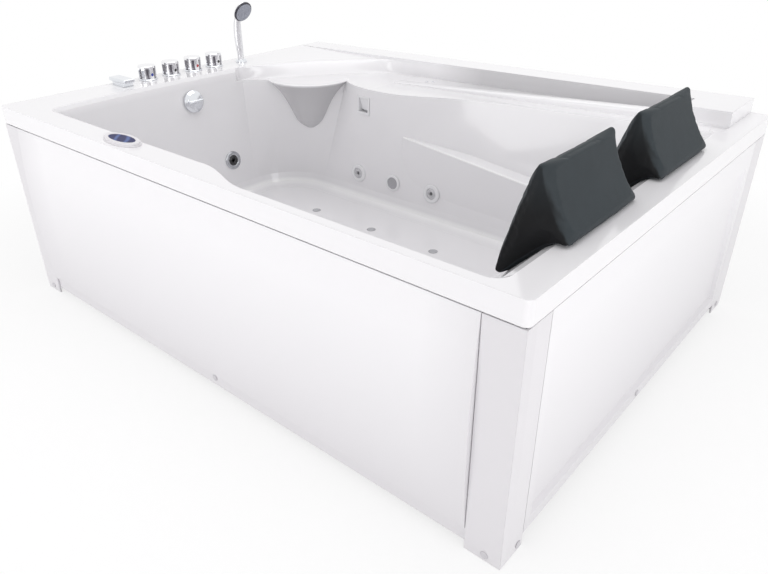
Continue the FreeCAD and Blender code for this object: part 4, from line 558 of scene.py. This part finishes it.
def dress(piece, material):
    if not piece.material_slots:
        piece.data.materials.append(material)
    for place in piece.material_slots:
        place.link = "OBJECT"
        place.material = material


paints = {}
for builder, members in finishes.items():
    paints[builder.__name__] = builder().material
    for member in members:
        dress(nodes[member], paints[builder.__name__])
print("finishes made:", len(paints))


weldGap = 1e-6  # points nearer than this are one point
seamGap = 1e-5  # the same for the loose triangles of a CAD piece


def surface(name, points, material, body, wrap=True):
    # points is a grid of rows; each row joins the next, and the last column joins the first when wrapped
    rows, columns = points.shape[:2]
    joins = columns if wrap else columns - 1
    row, column = np.meshgrid(np.arange(rows - 1), np.arange(joins), indexing="ij")
    here = row * columns + column
    beside = row * columns + (column + 1) % columns
    faces = np.stack([here, beside, beside + columns, here + columns], -1).reshape(-1, 4)
    mesh = bpy.data.meshes.new(name)
    mesh.from_pydata(points.reshape(-1, 3).tolist(), [], faces.tolist())
    shape = bmesh.new()
    shape.from_mesh(mesh)
    bmesh.ops.remove_doubles(shape, verts=shape.verts, dist=weldGap)
    bmesh.ops.recalc_face_normals(shape, faces=shape.faces)
    shape.to_mesh(mesh)
    shape.free()
    mesh.polygons.foreach_set("use_smooth", [True] * len(mesh.polygons))
    piece = bpy.data.objects.new(name, mesh)
    bpy.context.scene.collection.objects.link(piece)
    mesh.materials.append(material)
    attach(piece, body)
    return piece


def axes(way):
    # a level direction square to a way that isn't upright, a third square to both, and the way
    way = Vector(way).normalized()
    level = Vector((-way.y, way.x, 0)).normalized()
    return np.array(level), np.array(way.cross(level)), np.array(way)


def turned(name, profile, centre, way, material, body, count):
    # a profile of radius and height carried round an axis
    across, up, along = axes(way)
    radius, height = np.array(profile, float).T
    angle = np.linspace(0, 2 * np.pi, count, endpoint=False)
    ring = np.cos(angle)[:, None] * across + np.sin(angle)[:, None] * up
    points = np.array(centre) + radius[:, None, None] * ring[None] + height[:, None, None] * along
    return surface(name, points, material, body)


# cap is the farthest that the cloth moves; panel is where a side wall's dark end panel starts, how soon it
# is full, its tone at the top and the height over which painted shade darkens it towards the bottom
pillowShape = {"voxel": 0.004, "smooth": 0.5, "passes": 6, "shrink": 0.0015, "pressure": 4.0,
               "stiffness": 40, "quality": 4, "frames": 20, "cap": 0.006, "farFromNear": 0.43,
               "panel": {"start": 0.45, "rise": 0.3, "top": 0.55, "height": 0.09}}


def looseCopy(name, mesh):
    piece = bpy.data.objects.new(name, mesh)
    bpy.context.scene.collection.objects.link(piece)
    return piece


def bakedMesh(piece):
    ready = piece.evaluated_get(bpy.context.evaluated_depsgraph_get())
    return bpy.data.meshes.new_from_object(ready)


def readVertices(mesh, what):
    values = np.zeros(len(mesh.vertices) * 3)
    mesh.vertices.foreach_get(what, values)
    return values.reshape(-1, 3)


def pillowMesh(node):
    # the CAD pillow drawn in a little, remeshed, then blown up as cloth with its movement capped
    mesh = nodes[node].data.copy()
    shape = bmesh.new()
    shape.from_mesh(mesh)
    bmesh.ops.remove_doubles(shape, verts=shape.verts, dist=seamGap)
    bmesh.ops.recalc_face_normals(shape, faces=shape.faces)
    shape.to_mesh(mesh)
    shape.free()
    piece = looseCopy("pillowStart", mesh)
    remesh = piece.modifiers.new("even", "REMESH")
    remesh.mode = "VOXEL"
    remesh.voxel_size = pillowShape["voxel"]
    smooth = piece.modifiers.new("smooth", "SMOOTH")
    smooth.factor = pillowShape["smooth"]
    smooth.iterations = pillowShape["passes"]
    piece.data = bakedMesh(piece)
    piece.modifiers.clear()
    start = readVertices(piece.data, "co") - readVertices(piece.data, "normal") * pillowShape["shrink"]
    piece.data.vertices.foreach_set("co", start.ravel())
    piece.data.update()
    cloth = piece.modifiers.new("fill", "CLOTH")
    cloth.settings.use_pressure = True
    cloth.settings.uniform_pressure_force = pillowShape["pressure"]
    cloth.settings.effector_weights.gravity = 0
    cloth.settings.tension_stiffness = pillowShape["stiffness"]
    cloth.settings.compression_stiffness = pillowShape["stiffness"]
    cloth.settings.quality = pillowShape["quality"]
    cloth.point_cache.frame_start = 1
    cloth.point_cache.frame_end = pillowShape["frames"]
    for count in range(1, pillowShape["frames"] + 1):
        bpy.context.scene.frame_set(count)
    swollen = bakedMesh(piece)
    piece.modifiers.clear()
    moved = readVertices(swollen, "co") - start
    reach = np.linalg.norm(moved, axis=1, keepdims=True)
    start = start + moved * np.minimum(1, pillowShape["cap"] / np.maximum(reach, tiny))
    piece.data.vertices.foreach_set("co", start.ravel())
    bpy.context.scene.frame_set(1)
    finished = piece.data
    bpy.data.objects.remove(piece)
    return finished


def makePillows():
    # both pillows are one mesh; the far one is the near one shifted along the head end
    mesh = pillowMesh("pillow_near")
    panel = pillowShape["panel"]
    for name, node, shift in (("nearHeadPillow", "pillow_near", 0),
                              ("farHeadPillow", "pillow_far", pillowShape["farFromNear"])):
        own = mesh.copy()
        own.transform(Matrix.Translation((0, shift, 0)))
        own.materials.clear()
        own.materials.append(paints["pillowSkin"])
        own.polygons.foreach_set("use_smooth", [True] * len(own.polygons))
        level = readVertices(own, "co")[:, 2]
        low = np.clip((level.max() - level) / panel["height"], 0, 1)
        faced = np.clip((-readVertices(own, "normal")[:, 1] - panel["start"]) / panel["rise"], 0, 1)
        # the dark end panel, with painted shade making it darker towards the bottom
        dark = faced * (panel["top"] + (1 - panel["top"]) * low)
        own.attributes.new("endPanelShade", "FLOAT", "POINT").data.foreach_set("value", dark)
        piece = looseCopy(name, own)
        finer = piece.modifiers.new("finer", "SUBSURF")
        finer.levels = finer.render_levels = 1
        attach(piece, node)
        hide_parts(node)


makePillows()
print("pillows filled")


# the corner spout's moulded skin; width and bow are shares of the top's at each share of the depth,
# and lip gives the inset and height of the two rows that lie on the shelf
spoutSkin = {"left": (-0.674, 0.184), "right": (-0.447, 0.370), "top": 0.575, "drop": 0.171,
             "reach": 0.092, "lean": -0.010, "margin": 0.0016, "roll": 0.003, "behind": 0.03,
             "lip": ((0.03, -0.0005), (0.02, 0.0004)), "crown": 0.0007, "rimRows": 7, "rows": 70,
             "start": 0.03, "columns": 61, "blur": 9, "low": (234, 233, 235), "high": (239, 238, 240),
             "shadow": (150, 149, 152), "shade": (0.62, 0.12), "shadeFrom": (0.02, 0.04),
             "depth": (0.0, 0.1, 0.2, 0.3, 0.42, 0.56, 0.72, 0.86, 0.95, 1.01, 1.04),
             "width": (1.0, 0.87, 0.76, 0.67, 0.58, 0.5, 0.42, 0.34, 0.25, 0.15, 0.03),
             "bow": (1.0, 0.88, 0.78, 0.69, 0.60, 0.51, 0.42, 0.31, 0.21, 0.11, 0.02)}


def spoutAcrylic():
    # the bath's acrylic, with painted shade below the spout's lip
    look = acrylicLook
    acrylic = Finish("spoutAcrylic")
    shade = acrylic.make("ShaderNodeAttribute", {"attribute_name": "shade"}, None, "Fac")
    base = acrylic.blend(acrylic.grain(*look["drift"]), spoutSkin["low"], spoutSkin["high"])
    wipe = acrylic.grain(*look["wipe"])
    return acrylic.put(
        colour=acrylic.blend(shade, base, spoutSkin["shadow"]), roughness=wipe.spread(*look["roughness"]),
        coat=look["coat"], coatRoughness=look["coatRoughness"],
        normal=acrylic.relief(acrylic.grain(*look["swell"]), *look["bump"])).material


def evened(values, count):
    # a running mean over count values, with the end values held past both ends
    edge = count // 2
    held = np.concatenate([np.full(edge, values[0]), values, np.full(edge, values[-1])])
    return np.convolve(held, np.ones(count) / count, "valid")


def makeSpout():
    # level sections down the spout; each is a circle's arc through both ends and the bow's middle,
    # carried straight back into the wall at its ends
    left, right = [np.array(end + (0,)) for end in (spoutSkin["left"], spoutSkin["right"])]
    half = np.linalg.norm(left - right) / 2
    along = (left - right) / (2 * half)
    ahead = np.array((-along[1], along[0], 0))
    middle = (left + right) / 2
    margin, roll, reach = spoutSkin["margin"], spoutSkin["roll"], spoutSkin["reach"]
    rows = [(half - inset, reach - inset, height, 0.0) for inset, height in spoutSkin["lip"]]
    for turn in np.linspace(0, np.pi / 2, spoutSkin["rimRows"]):
        inset = margin - roll * (1 - math.sin(turn))
        rows.append((half + inset, reach + inset, spoutSkin["crown"] - roll * (1 - math.cos(turn)), 0.0))
    rimCount = len(rows)
    for depth in np.linspace(spoutSkin["start"], spoutSkin["depth"][-1], spoutSkin["rows"]):
        width = np.interp(depth, spoutSkin["depth"], spoutSkin["width"])
        bow = np.interp(depth, spoutSkin["depth"], spoutSkin["bow"])
        rows.append((half * width + margin, reach * bow + margin, -spoutSkin["drop"] * depth,
                     spoutSkin["lean"] * depth))
    table = np.array(rows)
    funnel = table[rimCount:].copy()
    for column in (0, 1):
        own = funnel[:, column]
        table[rimCount:, column] = np.maximum(evened(own, spoutSkin["blur"]), own)
    width, bow, height, lean = table.T
    radius = (width ** 2 + bow ** 2) / (2 * bow)
    span = np.arcsin(np.minimum(width / radius, 1))
    share = np.linspace(-1, 1, spoutSkin["columns"])
    angle = share[None] * span[:, None]
    sideways = radius[:, None] * np.sin(angle)
    forward = bow[:, None] - radius[:, None] + radius[:, None] * np.cos(angle)
    back = np.full((len(table), 1), -spoutSkin["behind"])
    sideways = np.hstack([sideways[:, :1], sideways, sideways[:, -1:]])
    forward = np.hstack([back, forward, back])
    points = (middle + sideways[..., None] * along + (forward + lean[:, None])[..., None] * ahead)
    points[..., 2] += spoutSkin["top"] + height[:, None]
    piece = surface("spoutFunnel", points, spoutAcrylic(), "bath", wrap=False)
    # painted shade below the lip: none at the lip itself, full a little lower, then slightly less with
    # depth
    level = (spoutSkin["top"] - readVertices(piece.data, "co")[:, 2]) / spoutSkin["drop"]
    start, rise = spoutSkin["shadeFrom"]
    high, loss = spoutSkin["shade"]
    shade = np.clip((level - start) / rise, 0, 1) * (high - loss * np.clip(level, 0, 1))
    piece.data.attributes.new("shade", "FLOAT", "POINT").data.foreach_set("value", shade)


makeSpout()

# the soft slope between the deck and the corner shelf; grow and shrink are the shares of its length over
# which it widens and narrows, and tail is how far past its foot the profile goes on, into the shelf
shelfSlope = {"edge": ((-0.7605, 0.110), (-0.748, 0.150), (-0.728, 0.203), (-0.655, 0.349), (-0.620, 0.397),
                       (-0.544, 0.485), (-0.440, 0.575), (-0.395, 0.576), (-0.292, 0.576)),
              "deck": 0.618, "shelf": 0.575, "width": 0.052, "behind": 0.016, "proud": 0.0015,
              "step": 0.005, "blur": 17, "grow": 0.34, "shrink": 0.45, "least": 0.03, "seat": 0.04,
              "columns": 25, "tail": 1.02, "lip": 0.001, "above": 0.0005, "dip": 0.0012}


def makeShelfSlope():
    # one profile carried along the shelf's edge: it falls from the deck to the shelf as half a cosine
    # wave, and its width grows from the left end and shrinks again towards the ledge
    corners = np.array(shelfSlope["edge"])
    lengths = np.concatenate([[0], np.cumsum(np.linalg.norm(np.diff(corners, axis=0), axis=1))])
    count = int(lengths[-1] / shelfSlope["step"])
    along = np.linspace(0, lengths[-1], count)
    path = np.stack([np.interp(along, lengths, corners[:, part]) for part in range(2)], 1)
    soft = np.stack([evened(path[:, part], shelfSlope["blur"]) for part in range(2)], 1)
    ahead = np.gradient(soft, axis=0)
    ahead /= np.linalg.norm(ahead, axis=1, keepdims=True)
    inward = np.stack([ahead[:, 1], -ahead[:, 0]], 1)
    share = along / lengths[-1]
    grown = np.clip(share / shelfSlope["grow"], 0, 1) * np.clip((1 - share) / shelfSlope["shrink"], 0, 1)
    least = shelfSlope["least"]
    width = shelfSlope["width"] * (least + (1 - least) * grown * grown * (3 - 2 * grown))
    proud = shelfSlope["proud"] * np.clip(np.minimum(share, 1 - share) / shelfSlope["seat"], 0, 1)
    flat = (-shelfSlope["behind"], -shelfSlope["behind"] / 2, -shelfSlope["lip"])
    fall = np.linspace(0, 1, shelfSlope["columns"])
    out = np.concatenate([np.zeros(len(flat)), fall, [shelfSlope["tail"]]])
    drop = np.concatenate([np.zeros(len(flat)), (1 - np.cos(fall * np.pi)) / 2, [shelfSlope["tail"]]])
    out = out[None, :] * width[:, None] + proud[:, None]
    out[:, :len(flat)] = flat
    high = shelfSlope["deck"] - shelfSlope["shelf"]
    level = shelfSlope["deck"] + shelfSlope["above"] - drop[None, :] * high + np.zeros_like(out)
    level[:, 0] -= shelfSlope["dip"]
    points = np.concatenate([soft[:, None] + inward[:, None] * out[..., None], level[..., None]], 2)
    piece = surface("shelfSlope", points, paints["bathAcrylic"], "bath", wrap=False)


# the rounded curb beside the channel; a pair is a value at its left and at its right end, and the peak
# stands over the crest by a fixed height and by a share of the curb's own
curbSkin = {"x": (-0.289, 0.716), "front": (0.448, 0.4737), "width": 0.026, "strip": (0.575, 0.6086),
            "crest": (0.577, 0.6354), "channel": (0.577, 0.6044), "margin": 0.008, "over": 0.0009,
            "overShare": 0.05, "sunk": 0.0006, "oval": 4, "crowd": 1.6, "rows": 140, "columns": 45}


def makeCurb():
    # across the curb its height follows a fourth-power oval, wide enough to hold the square core, and the
    # columns crowd towards its two feet
    share = np.linspace(0, 1, curbSkin["rows"])[:, None]
    x, front, strip, crest, channel = [
        curbSkin[name][0] + (curbSkin[name][1] - curbSkin[name][0]) * share
        for name in ("x", "front", "strip", "crest", "channel")]
    half = curbSkin["width"] / 2 + curbSkin["margin"]
    turn = np.linspace(-1, 1, curbSkin["columns"])[None, :]
    across = np.sign(turn) * (1 - (1 - np.abs(turn)) ** curbSkin["crowd"])
    oval = (1 - across ** curbSkin["oval"]) ** (1 / curbSkin["oval"])
    base = strip + (channel - strip) * (across + 1) / 2
    peak = crest + curbSkin["over"] + curbSkin["overShare"] * (crest - base)
    foot = base - curbSkin["sunk"]
    level = foot + (peak - foot) * oval
    y = front + curbSkin["width"] / 2 + half * across
    points = np.stack([x + np.zeros_like(y), y, level], 2)
    piece = surface("channelCurb", points, paints["bathAcrylic"], "bath", wrap=False)


# the flap in the wall inlet; even is the share of the sinking that the right side has too
inletFlap = {"seat": (-0.316, 0.30597, 0.517), "way": (-0.1088, -0.9914, 0.0728), "half": 0.0228,
             "low": -0.0172, "top": -0.0008, "sunk": 0.013, "even": 0.45, "thick": 0.0014, "count": 24}


def makeInletFlap():
    # a plate that lies level along its top edge and sinks towards the bottom, most at the left corner
    across, up, along = axes(inletFlap["way"])
    half, count, even = inletFlap["half"], inletFlap["count"], inletFlap["even"]
    side = np.linspace(-half, half, count)[None, :]
    rise = np.linspace(inletFlap["low"], half, count)[:, None]
    lean = (half - rise) / (half - inletFlap["low"])
    sink = inletFlap["top"] - inletFlap["sunk"] * lean * (even + (1 - even) * (half - side) / (2 * half))
    points = (np.array(inletFlap["seat"]) + side[..., None] * across + rise[..., None] * up
              + sink[..., None] * along)
    piece = surface("inletFlap", points, paints["ringPlastic"], "bath", wrap=False)
    plate = piece.modifiers.new("plate", "SOLIDIFY")
    plate.thickness = inletFlap["thick"]
    plate.offset = 0


makeShelfSlope()
makeCurb()
makeInletFlap()
print("spout, shelf slope, curb and inlet flap made")

# the enamel dots on the sides of the knobs that face the basin; fine and the rest are as for a finish
tapMarks = {"radius": 0.005, "height": 0.0012, "level": 0.637, "x": -0.8241, "sunk": 0.0004, "rows": 9,
            "columns": 40, "darker": 0.85,
            "enamel": {"fine": (300, 2), "roughness": (0.1, 0.1), "coat": 0.8},
            "knobs": (("cold_tap_knob", -0.194, (30, 60, 170)), ("diverter_knob", -0.101, (22, 22, 24)),
                      ("hot_tap_knob", -0.008, (190, 30, 30)), ("air_control_knob", 0.085, (22, 22, 24)))}


def markEnamel(knob, colour):
    darker = tuple(part * tapMarks["darker"] for part in colour)
    look = {**tapMarks["enamel"], "low": colour, "high": darker}
    return plainFinish(knob.replace("_knob", "") + "Mark", look).material


def makeTapMarks():
    # each dot is a quarter of an oval turned round the direction that leads out of the knob's side
    radius, height = tapMarks["radius"], tapMarks["height"]
    profile = [(radius, -tapMarks["sunk"])]
    for turn in np.linspace(0, math.pi / 2, tapMarks["rows"]):
        profile.append((radius * math.cos(turn) + tiny, height * math.sin(turn)))
    for knob, y, colour in tapMarks["knobs"]:
        centre = (tapMarks["x"], y, tapMarks["level"])
        piece = turned(knob.replace("_knob", "Dot"), profile, centre, (1, 0, 0), markEnamel(knob, colour),
                       knob, tapMarks["columns"])


def makeSprayPlate():
    # a disc on radius and angle; its height is the sum of small round humps on four rings
    rows, columns = sprayPlate["rows"], sprayPlate["columns"]
    across, up, along = axes(sprayWay())
    radius = np.linspace(tiny, sprayPlate["radius"], rows)[:, None]
    angle = np.linspace(0, 2 * np.pi, columns, endpoint=False)[None, :]
    height = np.full((rows, columns), sprayPlate["edge"])
    for ringRadius, count in sprayPlate["rings"]:
        part = (angle * count / (2 * np.pi) + 0.5) % 1 - 0.5
        off = (radius - ringRadius) ** 2 + (ringRadius * part * 2 * np.pi / count) ** 2
        height = height + sprayPlate["bump"] * np.exp(-off / sprayPlate["spread"] ** 2)
    height[-1] = -sprayPlate["sunk"]
    disc = radius[..., None] * (np.cos(angle)[..., None] * across + np.sin(angle)[..., None] * up)
    points = np.array(sprayPlate["centre"]) + disc + height[..., None] * along
    rubber = plainFinish("sprayPlateRubber", sprayPlate["rubber"]).material
    piece = surface("showerSprayPlate", points, rubber, "hand_shower")


makeTapMarks()
makeSprayPlate()
print("marks and spray plate made")

# the stage; a lamp is its name, place, size and power, and the floor fades to white from near outwards
stageLook = {"camera": (1.3151, -1.5197, 1.1614), "pitch": 60.546, "turn": 40.139, "roll": -0.166,
             "lens": 32.46, "sensor": 36, "aim": (0, 0, 0.4),
             "lamps": (("frontLamp", (-0.6, -3.6, 0.9), 2.4, 38.0),
                       ("rightLamp", (3.8, -0.8, 1.1), 2.2, 35.0),
                       ("topLamp", (-0.2, 0.3, 3.8), 3.4, 42.0)),
             "skyColour": (0.985, 0.975, 0.985, 1), "skyStrength": 0.66,
             "floor": {"half": 14.0, "level": -0.0008, "paper": (236, 236, 236), "roughness": 0.9,
                       "shade": (0.95, 0.95, 0.95, 1), "near": 1.5, "rate": 0.5, "least": 0.74}}
plainWhite = (1, 1, 1, 1)


def lookingRays(tree, rays):
    # one for rays from the camera and for those that metal or glass sends on
    seen = Wire(tree, rays.outputs["Is Camera Ray"])
    for kind in ("Is Glossy Ray", "Is Transmission Ray"):
        seen = seen.maths("MAXIMUM", seen, Wire(tree, rays.outputs[kind]))
    return seen


def makeFloor():
    # a floor that shows white to the camera, with the object's shadow near it
    look = stageLook["floor"]
    half, level = look["half"], look["level"]
    mesh = bpy.data.meshes.new("studioFloor")
    mesh.from_pydata([(-half, -half, level), (half, -half, level), (half, half, level),
                      (-half, half, level)], [], [(0, 1, 2, 3)])
    floor = looseCopy("studioFloor", mesh)
    paper = Finish("studioPaper")
    paper.put(colour=tint(look["paper"]), roughness=look["roughness"])
    seen = lookingRays(paper.tree, paper.make("ShaderNodeLightPath").socket.node)
    shine = paper.make("ShaderNodeEmission", None, {"Color": plainWhite, "Strength": 1.0})
    shade = paper.make("ShaderNodeBsdfDiffuse", None, {"Color": look["shade"]})
    reach = paper.make("ShaderNodeVectorMath", {"operation": "LENGTH"}, {0: paper.spot()}, "Value")
    fade = (reach - look["near"]) * look["rate"]
    fade = fade.maths("MAXIMUM", fade, 0.0) + look["least"]
    bright = paper.make("ShaderNodeMixShader", None, {
        0: fade.maths("MINIMUM", fade, 1.0), 1: shade, 2: shine})
    plain = Wire(paper.tree, paper.shader.outputs[0])
    both = paper.make("ShaderNodeMixShader", None, {0: seen, 1: plain, 2: bright})
    paper.feed(paper.output.inputs[0], both)
    mesh.materials.append(paper.material)


def makeSky():
    world = bpy.data.worlds.new("studioSky")
    bpy.context.scene.world = world
    world.use_nodes = True
    tree = world.node_tree
    tree.nodes.clear()
    rays = tree.nodes.new("ShaderNodeLightPath")
    soft = tree.nodes.new("ShaderNodeBackground")
    soft.inputs["Color"].default_value = stageLook["skyColour"]
    soft.inputs["Strength"].default_value = stageLook["skyStrength"]
    plain = tree.nodes.new("ShaderNodeBackground")
    plain.inputs["Color"].default_value = plainWhite
    plain.inputs["Strength"].default_value = 1.0
    mixer = tree.nodes.new("ShaderNodeMixShader")
    output = tree.nodes.new("ShaderNodeOutputWorld")
    tree.links.new(lookingRays(tree, rays).socket, mixer.inputs[0])
    tree.links.new(soft.outputs[0], mixer.inputs[1])
    tree.links.new(plain.outputs[0], mixer.inputs[2])
    tree.links.new(mixer.outputs[0], output.inputs[0])


def makeLamps():
    # each lamp looks at the aim point
    for name, place, size, power in stageLook["lamps"]:
        lamp = bpy.data.lights.new(name, "AREA")
        lamp.size = size
        lamp.energy = power
        holder = bpy.data.objects.new(name, lamp)
        bpy.context.scene.collection.objects.link(holder)
        holder.location = place
        towards = Vector(stageLook["aim"]) - Vector(place)
        holder.rotation_euler = towards.to_track_quat("-Z", "Y").to_euler()


def makeCamera():
    camera = bpy.data.cameras.new("studioCamera")
    camera.lens = stageLook["lens"]
    camera.sensor_width = stageLook["sensor"]
    holder = bpy.data.objects.new("studioCamera", camera)
    bpy.context.scene.collection.objects.link(holder)
    turn = (Matrix.Rotation(math.radians(stageLook["turn"]), 4, "Z")
            @ Matrix.Rotation(math.radians(stageLook["pitch"]), 4, "X")
            @ Matrix.Rotation(math.radians(stageLook["roll"]), 4, "Z"))
    holder.location = stageLook["camera"]
    holder.rotation_euler = turn.to_euler()
    bpy.context.scene.camera = holder


makeFloor()
makeSky()
makeLamps()
makeCamera()
bpy.context.scene.view_settings.view_transform = "Standard"
print("stage ready")
